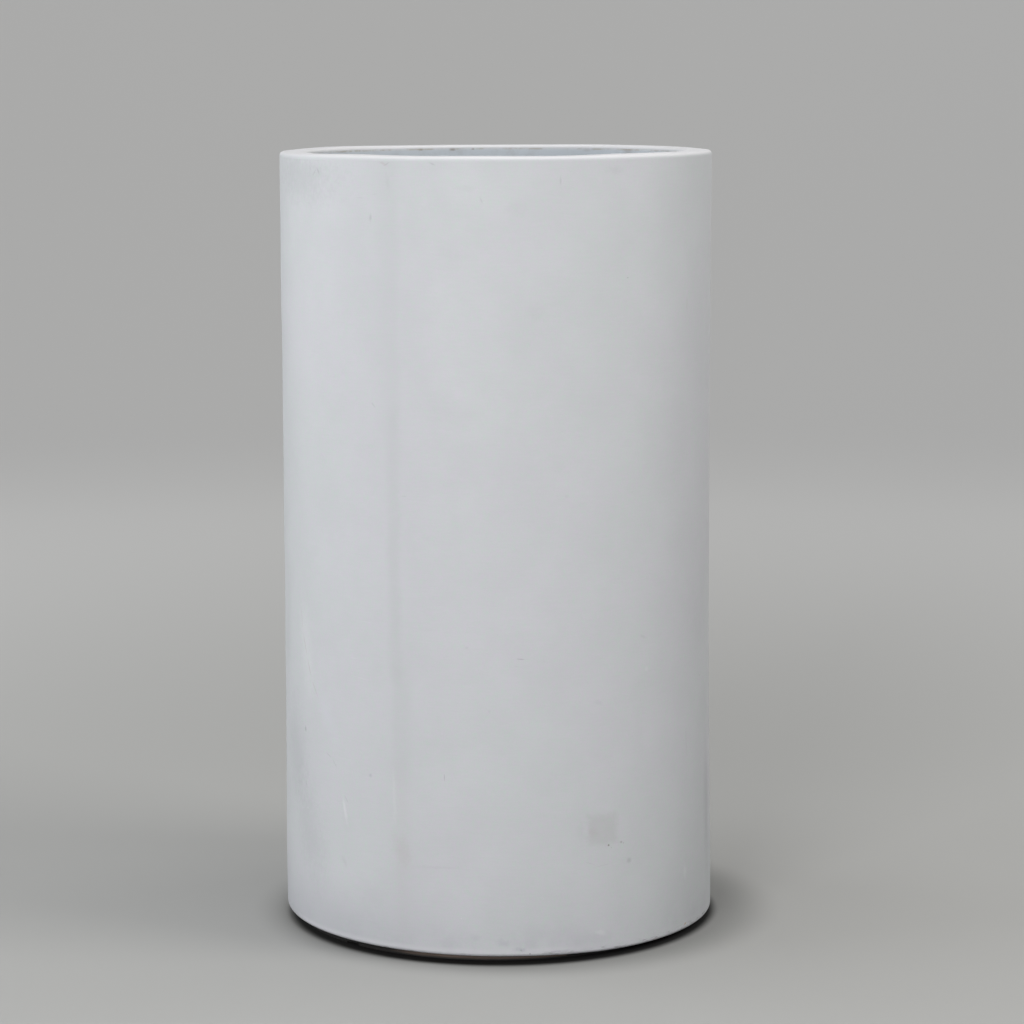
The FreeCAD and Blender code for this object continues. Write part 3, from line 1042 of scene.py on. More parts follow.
    def _foot(self, sheet: NodeSheet, colour: Socket, level: Socket) -> Socket:
        """Painted shade low on the left, grime, a painted highlight along the rolled bottom edge, and scuffs
        towards the bottom edge.

        Args:
            sheet: the material.
            colour: the coat's colour.
            level: the height of the surface.

        Returns:
            The colour with the grime on it.
        """
        bearing = sheet.bearing()
        # painted shade: darker towards the bottom, most on the left, where less light reaches
        settled = (sheet.ramp(level, *self.foot_painted_shade_fade), sheet.ramp(bearing, *self.foot_painted_shade_side))
        colour = sheet.mix(sheet.product(*settled), colour, self.foot_painted_shade)
        grime = (sheet.patches(self.grime), sheet.ramp(level, *self.grime_fade), self.grime_strength)
        colour = sheet.mix(sheet.product(*grime), colour, self.foot_grime)
        # painted highlight: a lighter band just above the bottom edge, strongest at the front and left
        rolled_highlight = (sheet.band(level, *self.rolled_highlight_band), sheet.ramp(bearing, *self.rolled_highlight_side))
        colour = sheet.mix(sheet.product(*rolled_highlight), colour, self.rolled_edge_highlight)
        chips = (sheet.patches(self.knocks), sheet.ramp(level, *self.knocks_fade), self.knocks_strength)
        return sheet.mix(sheet.product(*chips), colour, self.scuff)


@dataclass(frozen=True)
class RimCoat(WhiteCoat):
    """The same coat on the rim, with the dirt that has gathered round the mouth, a painted highlight on the
    lip's top and painted shade on the return's inner face.

    Depths are counted down from the rim's top. Each stain holds the pixel column where it shows,
    its width in millimetres and its strength.
    """

    # painted shade: a darker, cooler white for the return's inner face
    inside: Swatch = Swatch(212, 220, 229)
    # painted highlight: a lighter white for the lip's top
    lip_highlight: Swatch = Swatch(240, 240, 243)
    dirt: Swatch = Swatch(168, 150, 118)
    stain: Swatch = Swatch(126, 104, 84)
    lip_highlight_depths: tuple[float, float] = (4 * MM, 1 * MM)
    inside_depths: tuple[float, float] = (7 * MM, 3 * MM)
    inside_reach: tuple[float, float] = (1 * MM, 4 * MM)
    line_depths: tuple[float, float] = (5.6 * MM, 3.8 * MM)
    line_soft: float = 1.6 * MM
    line_patches: Cloud = Cloud(22 * MM, 4.0, 0.7, 0.42, 0.66)
    line_strength: float = 0.42
    stain_depth: float = 5.0 * MM
    stain_top_depth: float = 4.0 * MM
    stain_drop: float = 0.3
    stain_soft: float = 2 * MM
    stain_side_soft: float = 0.8
    film: Cloud = Cloud(26 * MM, 4.0, 0.65, 0.46, 0.72, 0.0, 0.14)
    stains: tuple[Triple, ...] = (
        (363.8, 4.0, 0.10), (421.0, 5.0, 0.30), (452.6, 6.0, 0.50), (473.0, 3.0, 0.45), (587.0, 9.0, 0.16),
        (593.0, 5.0, 0.14), (628.0, 12.0, 0.26), (668.0, 12.0, 0.34), (676.0, 8.0, 0.40),
    )

    def rim(self) -> Material:
        """The coat on the rim ring.

        Returns:
            The material.
        """
        sheet = NodeSheet("white_coat_rim")
        level = sheet.level()
        # painted highlight over the top of the lip
        top = sheet.ramp(level, *(SIZES.height - depth for depth in self.lip_highlight_depths))
        colour = sheet.mix(top, self.tone(sheet), self.lip_highlight)
        reach = [SIZES.mouth_radius + distance for distance in self.inside_reach]
        well = sheet.ramp(sheet.radius(), *reach, 1.0, 0.0)
        below = sheet.ramp(level, *(SIZES.height - depth for depth in self.inside_depths), 1.0, 0.0)
        # painted shade on the return's inner face, below its top round
        colour = sheet.mix(sheet.product(well, below), colour, self.inside)
        line = sheet.band(level, *(SIZES.height - depth for depth in self.line_depths), self.line_soft)
        dirt = sheet.product(line, well, sheet.patches(self.line_patches), self.line_strength)
        colour = sheet.mix(dirt, colour, self.dirt)
        bearing = sheet.bearing()
        for column, width, strength in self.stains:
            centre = PHOTO.on_far_mouth(column, SIZES.mouth_radius, SIZES.height - self.stain_depth)
            centre = math.remainder(centre, 2 * math.pi)
            half = width * MM / SIZES.mouth_radius / 2
            spot = sheet.band(bearing, centre - half, centre + half, 2 * self.stain_side_soft * half)
            low = SIZES.height - self.stain_depth - self.stain_drop * width * MM
            high = SIZES.height - self.stain_top_depth
            spot = sheet.product(spot, sheet.band(level, low, high, self.stain_soft), well, strength)
            colour = sheet.mix(spot, colour, self.stain)
        film = sheet.product(sheet.patches(self.film), well, below)
        return sheet.finish(sheet.mix(film, colour, self.stain), self.roughness, self.relief(sheet))


@dataclass(frozen=True)
class RawLaminate:
    """Hand-laid glass mat in resin, as the inside of the planter shows it."""

    resin: Swatch = Swatch(176, 176, 156)
    thick_resin: Swatch = Swatch(148, 147, 120)
    glass: Swatch = Swatch(216, 217, 206)
    overspray: Swatch = Swatch(214, 218, 220)
    soil: Swatch = Swatch(92, 74, 56)
    pools: Cloud = Cloud(55 * MM, 3.0, 0.55, 0.35, 0.68)
    glass_showing: Fade = (0.0, 1.0, 0.75, 0.4)
    wetness: Fade = (0.0, 1.0, 0.55, 0.32)
    drift: Cloud = Cloud(60 * MM, 4.0, 0.7)
    drift_height: float = 0.10
    drift_fade: float = 0.16
    drift_strength: float = 0.92
    dust: Cloud = Cloud(30 * MM, 5.0, 0.7, 0.45, 0.75)
    dust_fade: Fade = (SIZES.floor_top, 0.16, 0.75, 0.08)
    dust_roughness: float = 0.4
    lumps: Cloud = Cloud(14 * MM, 3.0, 0.6)
    lumps_height: float = 0.8 * MM
    strand_height: float = 0.25 * MM
    strand: Triple = (42 * MM, 1.3 * MM, 1.3 * MM)
    strand_edge: tuple[float, float] = (0.60, 0.70)
    strand_turns: tuple[Triple, ...] = (
        (0.2, 0.3, 0.1), (1.2, 0.2, 0.9), (0.4, 1.3, 1.7), (1.9, 0.9, 0.4), (0.8, 2.2, 2.4), (0.1, 0.0, 2.9),
        (0.0, 1.57, 0.3), (0.3, 1.1, 0.9), (0.0, 0.1, 1.3),
    )

    def material(self, name: str, overspray_level: float | None = None) -> Material:
        """Makes the material.

        Args:
            name: its name.
            overspray_level: above this the white coat has drifted onto it.

        Returns:
            The material.
        """
        sheet = NodeSheet(name)
        level = sheet.level()
        strands = self._strands(sheet)
        pooled = sheet.patches(self.pools)
        colour = sheet.mix(pooled, self.resin, self.thick_resin)
        showing = sheet.product(strands, sheet.ramp(pooled, *self.glass_showing))
        colour = sheet.mix(showing, colour, self.glass)
        if overspray_level is not None:
            drift = sheet.total(level, sheet.product(sheet.noise(self.drift), self.drift_height))
            sprayed = sheet.ramp(drift, overspray_level, overspray_level + self.drift_fade)
            colour = sheet.mix(sheet.product(sprayed, self.drift_strength), colour, self.overspray)
        dusty = sheet.product(sheet.patches(self.dust), sheet.ramp(level, *self.dust_fade))
        colour = sheet.mix(dusty, colour, self.soil)
        roughness = sheet.total(sheet.ramp(pooled, *self.wetness), sheet.product(dusty, self.dust_roughness))
        normal = sheet.bump(sheet.noise(self.lumps), self.lumps_height)
        return sheet.finish(colour, roughness, sheet.bump(strands, self.strand_height, normal))

    def _strands(self, sheet: NodeSheet) -> Socket:
        """The chopped strands, each layer lying its own way.

        Args:
            sheet: the material.

        Returns:
            One on a strand and nothing between them.
        """
        layers = (Cloud(self.strand, 0.0, 0.5, *self.strand_edge, turn=turn) for turn in self.strand_turns)
        return reduce(lambda laid, layer: sheet.math("MAXIMUM", laid, layer), map(sheet.patches, layers))


@dataclass(frozen=True)
class Plywood:
    """Plain ply, with veneer grain on its faces and layers on its edges."""

    pale: Swatch = Swatch(196, 164, 122)
    dark: Swatch = Swatch(150, 112, 74)
    glue: Swatch = Swatch(92, 66, 46)
    ply: float = 1.7 * MM
    grain: Cloud = Cloud((160 * MM, 5 * MM, 5 * MM), 4.0, 0.65, 0.35, 0.68)
    fibre: Cloud = Cloud((30 * MM, 0.8 * MM, 0.8 * MM), 2.0, 0.5, 0.55, 0.75, 0.0, 0.35)
    fibre_height: float = 0.12 * MM
    layer_edge: tuple[float, float] = (-0.3, 0.3)
    glue_line: Fade = (0.0, 0.25, 1.0, 0.0)
    glue_strength: float = 0.6
    face_turn: tuple[float, float] = (0.5, 0.8)
    roughness: float = 0.78

    def material(self) -> Material:
        """Makes the material.

        Returns:
            The material.
        """
        sheet = NodeSheet("plywood_finish")
        face = sheet.mix(sheet.patches(self.grain), self.pale, self.dark)
        layer = sheet.math("SINE", sheet.product(sheet.level(), math.pi / self.ply))
        edge = sheet.mix(sheet.ramp(layer, *self.layer_edge), self.pale, self.dark)
        glued = sheet.ramp(sheet.math("ABSOLUTE", layer), *self.glue_line)
        edge = sheet.mix(sheet.product(glued, self.glue_strength), edge, self.glue)
        flat = sheet.ramp(sheet.math("ABSOLUTE", sheet.facing()), *self.face_turn)
        colour = sheet.mix(sheet.patches(self.fibre), sheet.mix(flat, edge, face), self.glue)
        return sheet.finish(colour, self.roughness, sheet.bump(sheet.noise(self.fibre), self.fibre_height))


@dataclass(frozen=True)
class FootPaint:
    """Black paint on the foot ring, rubbed back to the wood along the front, and left black in its lowest few
    millimetres as a painted contact shadow.
    """

    paint: Swatch = Swatch(20, 19, 19)
    dusty: Swatch = Swatch(40, 37, 35)
    bare: Swatch = Swatch(122, 106, 96)
    bare_from: float = math.radians(-34.0)
    bare_from_soft: float = 0.22
    bare_to: float = math.radians(18.5)
    bare_to_soft: float = 0.006
    bare_above_contact_shadow: tuple[float, float] = (1.5 * MM, 4.5 * MM)
    ragged: Cloud = Cloud(22 * MM, 3.0, 0.7)
    ragged_width: float = 0.10
    dust: Cloud = Cloud(12 * MM, 4.0, 0.7, 0.4, 0.7)
    dust_strength: float = 0.6
    grain: Cloud = Cloud((40 * MM, 40 * MM, 0.9 * MM), 3.0, 0.6, 0.35, 0.7, 0.0, 0.5)
    grain_height: float = 0.15 * MM
    roughness: float = 0.72

    def material(self) -> Material:
        """Makes the material.

        Returns:
            The material.
        """
        sheet = NodeSheet("foot_paint")
        bearing = sheet.bearing()
        wavering = sheet.total(bearing, sheet.waver(self.ragged, self.ragged_width))
        left = sheet.ramp(wavering, self.bare_from, self.bare_from + self.bare_from_soft)
        right = sheet.ramp(bearing, self.bare_to, self.bare_to + self.bare_to_soft, 1.0, 0.0)
        # painted contact shadow: the wood shows only above the lowest few millimetres
        rubbed = sheet.product(left, right, sheet.ramp(sheet.level(), *self.bare_above_contact_shadow))
        dusted = sheet.product(sheet.patches(self.dust), self.dust_strength)
        colour = sheet.mix(dusted, self.paint, self.dusty)
        wood = sheet.mix(sheet.patches(self.grain), self.bare, self.dusty)
        normal = sheet.bump(sheet.noise(self.grain), self.grain_height)
        return sheet.finish(sheet.mix(rubbed, colour, wood), self.roughness, normal)


@dataclass(frozen=True)
class ZincSteel:
    """Zinc-plated screws, dull from lying under a wet pot."""

    zinc: Swatch = Swatch(188, 190, 192)
    rust: Swatch = Swatch(126, 84, 58)
    bloom: Cloud = Cloud(2.5 * MM, 4.0, 0.7, 0.52, 0.72)
    bloom_strength: float = 0.6
    bloom_height: float = 0.05 * MM
    roughness: float = 0.42
    bloom_roughness: float = 0.75

    def material(self) -> Material:
        """Makes the material.

        Returns:
            The material.
        """
        sheet = NodeSheet("zinc_steel")
        sheet.shader.inputs["Metallic"].default_value = 1.0
        bloom = sheet.patches(self.bloom)
        colour = sheet.mix(sheet.product(bloom, self.bloom_strength), self.zinc, self.rust)
        roughness = sheet.ramp(bloom, 0.0, 1.0, self.roughness, self.bloom_roughness)
        return sheet.finish(colour, roughness, sheet.bump(bloom, self.bloom_height))


@dataclass(frozen=True)
class MouldedFinish:
    """A moulded plastic or rubber surface, grained and dusty."""

    name: str
    body: Swatch
    dust: Swatch
    roughness: float
    grain: Cloud
    grain_height: float = 0.04 * MM
    dust_share: float = 0.5
    dust_roughness: float = 0.95
    settling: Fade = (0.2, 0.9, 0.25, 1.0)
    speckle: Cloud = Cloud(9 * MM, 5.0, 0.75, 0.42, 0.68)

    def material(self) -> Material:
        """Makes the material.

        Returns:
            The material.
        """
        sheet = NodeSheet(self.name)
        settled = sheet.ramp(sheet.facing(), *self.settling)
        film = sheet.product(settled, sheet.patches(self.speckle), self.dust_share)
        colour = sheet.mix(film, self.body, self.dust)
        roughness = sheet.ramp(film, 0.0, 1.0, self.roughness, self.dust_roughness)
        return sheet.finish(colour, roughness, sheet.bump(sheet.noise(self.grain), self.grain_height))


GREY_PLASTIC = MouldedFinish(
    "grey_plastic_finish", Swatch(112, 115, 118), Swatch(148, 134, 114), 0.45, Cloud(0.8 * MM, 2.0, 0.6)
)
BLACK_RUBBER = MouldedFinish(
    "black_rubber_finish", Swatch(28, 28, 30), Swatch(112, 100, 86), 0.62, Cloud(0.6 * MM, 2.0, 0.6)
)


# ---------------------------------------------------------------------------------------------
# Mesh building
# ---------------------------------------------------------------------------------------------


class Shell:
    """Points and faces gathered for one watertight piece."""

    def __init__(self) -> None:
        """Starts with nothing."""
        self.points: list[Array] = []
        self.faces: list[tuple[int, ...]] = []
        self.finishes: list[int] = []
        self.count = 0

    def sweep(self, loops: Array, closed: bool, inside_from: int | None = None) -> None:
        """Joins section loops that are set one after another.

        Args:
            loops: loops x points x 3. In an open sweep a loop runs up its outside and down its
                inside with as many points, so that its ends close with four-sided faces.
            closed: whether the last loop joins the first.
            inside_from: the first point of the loop whose faces take the second finish.
        """
        number, size = loops.shape[:2]
        base = self.count
        for j in range(number if closed else number - 1):
            this, following = base + j * size, base + (j + 1) % number * size
            for k in range(size):
                up = (k + 1) % size
                self.faces.append((this + k, following + k, following + up, this + up))
                inner = inside_from is not None and k >= inside_from and up != 0
                self.finishes.append(1 if inner else 0)
        if not closed:
            last = base + (number - 1) * size
            for k in range(size // 2 - 1):
                far = size - 1 - k
                self.faces.append((base + k, base + k + 1, base + far - 1, base + far))
                self.faces.append((last + k, last + far, last + far - 1, last + k + 1))
                self.finishes += [0, 0]
        self.points.append(loops.reshape(-1, 3))
        self.count += number * size

    def lathe(self, profile: Section, columns: int) -> None:
        """Turns a profile that begins and ends on the axis.

        Args:
            profile: radius and level of each point, the first and last with no radius.
            columns: how many steps go round.
        """
        rings = [ring_points(full_turn(columns), *ring) for ring in profile[1:-1]]
        poles = np.array([(0.0, 0.0, profile[0][1]), (0.0, 0.0, profile[-1][1])])
        base = self.count
        first, last = base, base + 1
        for j in range(columns):
            following = (j + 1) % columns
            self.faces.append((first, base + 2 + following, base + 2 + j))
            for ring in range(len(rings) - 1):
                low, high = base + 2 + ring * columns, base + 2 + (ring + 1) * columns
                self.faces.append((low + j, low + following, high + following, high + j))
            top = base + 2 + (len(rings) - 1) * columns
            self.faces.append((last, top + j, top + following))
        self.finishes += [0] * (len(self.faces) - len(self.finishes))
        self.points.append(np.concatenate([poles, *rings]))
        self.count += 2 + columns * len(rings)

    def mesh(self, name: str, materials: tuple[Material, ...], sharp: float) -> Mesh:
        """Makes the mesh.

        Args:
            name: its name.
            materials: its finishes.
            sharp: edges that turn by more degrees than this stay crisp.

        Returns:
            The mesh, its faces turned outwards.
        """
        mesh = bpy.data.meshes.new(name)
        mesh.from_pydata(np.concatenate(self.points).tolist(), [], self.faces)
        for material in materials:
            mesh.materials.append(material)
        mesh.polygons.foreach_set("material_index", self.finishes)
        if signed_volume(mesh) < 0:
            mesh.flip_normals()
        mesh.shade_smooth()
        mesh.set_sharp_from_angle(angle=math.radians(sharp))
        mesh.update()
        return mesh


def signed_volume(mesh: Mesh) -> float:
    """The volume that a mesh encloses, below zero where its faces point inwards.

    Args:
        mesh: a watertight mesh.

    Returns:
        The volume.
    """
    mesh.calc_loop_triangles()
    places = np.empty(len(mesh.vertices) * 3)
    mesh.vertices.foreach_get("co", places)
    corners = np.empty(len(mesh.loop_triangles) * 3, dtype=np.int32)
    mesh.loop_triangles.foreach_get("vertices", corners)
    a, b, c = places.reshape(-1, 3)[corners.reshape(-1, 3)].transpose(1, 0, 2)
    return float(np.einsum("ij,ij->i", a, np.cross(b, c)).sum() / 6)


def full_turn(columns: int) -> Array:
    """Bearings all the way round."""
    return np.linspace(0.0, 2 * math.pi, columns, endpoint=False)


def ring_points(bearings: Array, radius: Array | float, level: Array | float) -> Array:
    """Points at given bearings, radii and levels.

    Args:
        bearings: the bearings.
        radius: one radius, or one for each.
        level: one level, or one for each.

    Returns:
        The points, with x, y and z on the last axis.
    """
    bearings, radius, level = np.broadcast_arrays(bearings, radius, level)
    return np.stack([radius * np.sin(bearings), -radius * np.cos(bearings), level], axis=-1)


def corner(radius: float, level: float, size: float, start: float, steps: int) -> Section:
    """A rounded corner of a section.

    Args:
        radius: the radius of the round's centre about the axis.
        level: the level of that centre.
        size: the round's own radius.
        start: the angle where it begins, from outwards towards up, in degrees.
        steps: how many pieces it has.

    Returns:
        Radius and level of each point.
    """
    angles = [math.radians(start + 90.0 * step / steps) for step in range(steps + 1)]
    return [(radius + size * math.cos(a), level + size * math.sin(a)) for a in angles]


class Ripple:
    """Smooth unevenness over the planter, from a few long waves."""

    def __init__(
        self, seed: int, height: float, turns: tuple[int, int], length: tuple[float, float], waves: int = 12
    ) -> None:
        """Draws the waves.

        Args:
            seed: the draw.
            height: the usual height of the unevenness.
            turns: the fewest and most waves round the planter.
            length: the shortest and longest wave up the planter.
            waves: how many are added up.
        """
        draw = np.random.RandomState(seed)
        self.around = draw.randint(turns[0], turns[1] + 1, waves) * draw.choice([-1, 1], waves)
        self.upward = 2 * math.pi / draw.uniform(length[0], length[1], waves)
        self.phase = draw.uniform(0.0, 2 * math.pi, waves)
        self.height = height * math.sqrt(2.0 / waves) * draw.uniform(0.6, 1.4, waves)

    def __call__(self, bearing: Array, level: Array) -> Array:
        """The unevenness at places on the planter.

        Args:
            bearing: their bearings.
            level: their levels.

        Returns:
            Its height at each.
        """
        bearing, level = np.broadcast_arrays(bearing, level)
        total = np.zeros(bearing.shape)
        for around, upward, phase, height in zip(self.around, self.upward, self.phase, self.height):
            total += height * np.cos(around * bearing + upward * level + phase)
        return total


def soft_step(value: Array, low: float, high: float) -> Array:
    """Rises smoothly from nothing at low to one at high.

    Args:
        value: what is measured.
        low: where it begins.
        high: where it ends.

    Returns:
        The share at each.
    """
    share = np.clip((value - low) / (high - low), 0.0, 1.0)
    return share * share * (3 - 2 * share)


@dataclass(frozen=True)
class Piece:
    """One finished piece, which stands for a node of the construction model."""

    node: str
    slot: str
    body: str = "planter"

    def place(
        self, shell: Shell, *finishes: Material, normals: Array | None = None, sharp: float = 35
    ) -> bpy.types.Object:
        """Puts the piece where its node is.

        Args:
            shell: its shape, in the model's frame.
            *finishes: its materials.
            normals: the directions that its outer points look in, where they are set.
            sharp: edges that turn by more degrees than this stay crisp.

        Returns:
            The object.
        """
        mesh = shell.mesh(self.node + "_finished", finishes, sharp)
        if normals is not None:
            set_exact_normals(mesh, normals)
        piece = bpy.data.objects.new(mesh.name, mesh)
        bpy.context.scene.collection.objects.link(piece)
        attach(piece, self.body)
        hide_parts(self.node)
        log.info("%s: %d faces", piece.name, len(mesh.polygons))
        return piece


# ---------------------------------------------------------------------------------------------
# The outer form
# ---------------------------------------------------------------------------------------------


@dataclass(frozen=True)
class Dent:
    """A shallow hollow in the wall, or with a depth below zero a lump."""

    at: Pixel
    width: float
    height: float
    depth: float
    tilt: float = 0.0

    def sink(self, bearing: Array, level: Array) -> Array:
        """How far the wall is pressed in.

        Args:
            bearing: places on the wall.
            level: their levels.

        Returns:
            The depth at each.
        """
        centre, middle = PHOTO.on_wall(self.at, SIZES.rim_radius)
        across = np.remainder(bearing - centre + math.pi, 2 * math.pi) - math.pi
        across, up = across * SIZES.rim_radius, level - middle
        lean = math.radians(self.tilt)
        u = (across * math.cos(lean) + up * math.sin(lean)) / self.width
        v = (up * math.cos(lean) - across * math.sin(lean)) / self.height
        return self.depth * np.exp(-2 * (u * u + v * v))


@dataclass(frozen=True)
class WallForm:
    """The outer face of the wall: a shallow waist, a swelling foot and a laminator's unevenness."""

    waist_draw_in: float = 0.6 * MM
    waist_level: float = 0.530
    swell_top_level: float = 0.354
    swell_full_level: float = 0.060
    lean: float = 0.9 * MM
    foot_slant: float = 1.8 * MM
    foot_sag: float = 1.9 * MM
    slant_from: float = 0.020
    slant_to: float = 0.140
    seam_hollow: float = 0.25 * MM
    seam_reach: float = 26 * MM
    ripple: Ripple = field(default_factory=lambda: Ripple(7, 0.16 * MM, (1, 8), (0.12, 0.6)))
    dents: tuple[Dent, ...] = (
        Dent((312, 650), 34 * MM, 150 * MM, -1.0 * MM, -8.0),
        Dent((304, 800), 52 * MM, 90 * MM, 1.5 * MM, -12.0),
        Dent((347, 810), 9 * MM, 40 * MM, -0.35 * MM, -10.0),
        Dent((645.5, 672), 16 * MM, 16 * MM, -0.3 * MM),
        Dent((683, 872), 14 * MM, 16 * MM, -0.35 * MM),
        Dent((597, 930), 18 * MM, 12 * MM, -0.3 * MM),
    )

    def profile(self, level: Array) -> Array:
        """The radius that the mould gives at each level.

        Args:
            level: heights above the floor.

        Returns:
            The radius at each.
        """
        swell = SIZES.foot_radius - SIZES.rim_radius
        foot = swell * (1 - soft_step(level, self.swell_full_level, self.swell_top_level))
        below = soft_step(level, self.swell_top_level, self.waist_level)
        above = 1 - soft_step(level, self.waist_level, SIZES.wall_top)
        return SIZES.rim_radius + foot - self.waist_draw_in * below * above

    def radius(self, bearing: Array, level: Array) -> Array:
        """The radius of the finished face.

        Args:
            bearing: places on the wall.
            level: their levels.

        Returns:
            The radius at each.
        """
        radius = self.profile(level) + self.ripple(bearing, level)
        across = np.sin(bearing - SIZES.seam_bearing) * SIZES.rim_radius
        radius = radius - self.seam_hollow * np.exp(-((across / self.seam_reach) ** 2))
        for dent in self.dents:
            radius = radius - dent.sink(bearing, level)
        return radius

    def point(self, bearing: Array, level: Array, inset: Array | float = 0.0) -> Array:
        """Points on the wall, or behind its face.

        Args:
            bearing: their bearings.
            level: their levels.
            inset: how far behind the face they lie.

        Returns:
            The points, with x, y and z on the last axis.
        """
        return self.settle(ring_points(bearing, self.radius(bearing, level) - inset, level))

    def settle(self, points: Array) -> Array:
        """Gives points the wall's slight lean and its foot's slant.

        Args:
            points: points of a true, upright planter.

        Returns:
            The points of this one.
        """
        level = points[..., 2]
        share = np.clip(level / SIZES.wall_top, 0.0, 1.0)
        low = 1 - soft_step(level, self.slant_from, self.slant_to)
        moved = points.copy()
        moved[..., 0] -= self.lean * np.sin(math.pi * share)
        across = points[..., 0] / SIZES.foot_radius
        moved[..., 2] -= low * (self.foot_slant * across + self.foot_sag * soft_step(across, 0.0, 0.6))
        return moved

    def normal(self, bearing: Array, level: Array) -> Array:
        """The directions that the face looks in.

        Args:
            bearing: places on the wall.
            level: their levels.

        Returns:
            Unit vectors.
        """
        step = 1 * MM
        turn = step / SIZES.rim_radius
        along = self.point(bearing + turn, level) - self.point(bearing - turn, level)
        upward = self.point(bearing, level + step) - self.point(bearing, level - step)
        normal = np.cross(along, upward)
        return normal / np.linalg.norm(normal, axis=-1, keepdims=True)


FORM = WallForm()


# ---------------------------------------------------------------------------------------------
# Sub-assemblies
# ---------------------------------------------------------------------------------------------


@dataclass
class Wall:
    """The two halves of the wall and the filler over their seams."""

    column_step: float = 6 * MM
    row_step: float = 6 * MM
    round_steps: int = 6
    crisp: float = 0.05 * MM
    calm_below_core: float = 6 * MM
    inside_ripple: Ripple = field(default_factory=lambda: Ripple(19, 0.30 * MM, (2, 22), (0.03, 0.20), 18))

    def build(self) -> None:
        """Makes the halves and the filler."""
        coat = WhiteCoat()
        inside = RawLaminate().material("raw_laminate_wall", overspray_level=0.74)
        front, back = SIZES.seam_bearings
        behind = back - 2 * math.pi
        half = SIZES.filler_half
        self._half("wall_right", front, coat.wall("white_coat_right", front, back), inside)
        self._half("wall_left", behind, coat.wall("white_coat_left", behind, front), inside)
        self._filler(coat.wall("white_coat_filler", front - half, front + half))

    def _half(self, node: str, start: float, coat: Material, inside: Material) -> None:
        """Makes one half of the wall.

        Args:
            node: its name.
            start: the bearing of the seam that it starts from.
            coat: its outer finish.
            inside: its inner finish.
        """
        band = SIZES.filler_half
        columns = round(math.pi * SIZES.rim_radius / self.column_step)
        plain = np.linspace(band, math.pi - band, columns)
        ends = np.array([0.0, band / 2, band - self.crisp / SIZES.rim_radius])
        bearings = start + np.concatenate([ends, plain, math.pi - ends[::-1]])
        levels, insets, exact = self._outer_rows()
        bearing, level = np.meshgrid(bearings, levels, indexing="ij")
        rebate = self._in_band(bearing) * (level > SIZES.foot_level + SIZES.foot_edge_round)
        outer = FORM.point(bearing, level, insets[None, :] + SIZES.filler_depth * rebate)
        inner = self._inner_points(bearings, levels)
        shell = Shell()
        shell.sweep(np.concatenate([outer, inner[:, ::-1]], axis=1), False, inside_from=len(levels) - 1)
        normals = np.full((len(bearings), 2 * len(levels), 3), np.nan)
        normals[:, : len(levels)][:, exact] = FORM.normal(bearing, level)[:, exact]
        Piece(node, "white_coat").place(shell, coat, inside, normals=normals.reshape(-1, 3))

    def _outer_rows(self) -> tuple[Array, Array, Array]:
        """The rows up the outside.

        Returns:
            Their levels, how far each lies behind the face, and which take the face's own normal.
        """
        size = SIZES.foot_edge_round
        angles = np.radians(np.linspace(-90.0, 0.0, self.round_steps + 1))
        levels = SIZES.foot_level + size * (1 + np.sin(angles))
        insets = size * (1 - np.cos(angles))
        start = levels[-1]
        rows = round((SIZES.wall_top - start) / self.row_step)
        above = np.linspace(start + self.crisp, SIZES.wall_top, rows)
        levels = np.concatenate([levels, above])
        insets = np.concatenate([insets, np.zeros(len(above))])
        return levels, insets, np.arange(len(levels)) >= self.round_steps

    def _inner_points(self, bearings: Array, levels: Array) -> Array:
        """The inside face, one point behind each of the outside.

        Args:
            bearings: the columns.
            levels: the outer rows.

        Returns:
            columns x rows x 3.
        """
        span = SIZES.wall_top - SIZES.foot_level
        even = SIZES.foot_level + span * np.linspace(0.0, 1.0, len(levels))
        bearing, level = np.meshgrid(bearings, even, indexing="ij")
        calm = 1 - soft_step(level, SIZES.core_bottom - self.calm_below_core, SIZES.core_bottom)
        proud = np.maximum(self.inside_ripple(bearing, level), 0.0) * calm
        return FORM.settle(ring_points(bearing, SIZES.inner_radius - proud, level))

    def _in_band(self, bearing: Array) -> Array:
        """Where the filler lies.

        Args:
            bearing: places on the wall.

        Returns:
            True over a seam.
        """
        across = np.abs(np.sin(bearing - SIZES.seam_bearing)) * SIZES.rim_radius
        return across < math.sin(SIZES.filler_half) * SIZES.rim_radius - self.crisp / 2

    def _filler(self, coat: Material) -> None:
        """Makes the two strips of filler.

        Args:
            coat: the finish that covers them.
        """
        columns = round(SIZES.filler_width / self.column_step) * 2
        spread = np.linspace(-SIZES.filler_half, SIZES.filler_half, columns + 1)
        bottom = SIZES.foot_level + SIZES.foot_edge_round
        levels = np.linspace(bottom, SIZES.wall_top, round((SIZES.wall_top - bottom) / self.row_step))
        shell = Shell()
        normals = []
        for seam in SIZES.seam_bearings:
            bearing, level = np.meshgrid(seam + spread, levels, indexing="ij")
            outer = FORM.point(bearing, level)
            inner = FORM.point(bearing, level, SIZES.filler_depth)
            shell.sweep(np.concatenate([outer, inner[:, ::-1]], axis=1), False)
            facing = np.concatenate([FORM.normal(bearing, level), np.full(inner.shape, np.nan)], axis=1)
            normals.append(facing.reshape(-1, 3))
        Piece("seam_filler", "seam_putty").place(shell, coat, normals=np.concatenate(normals))


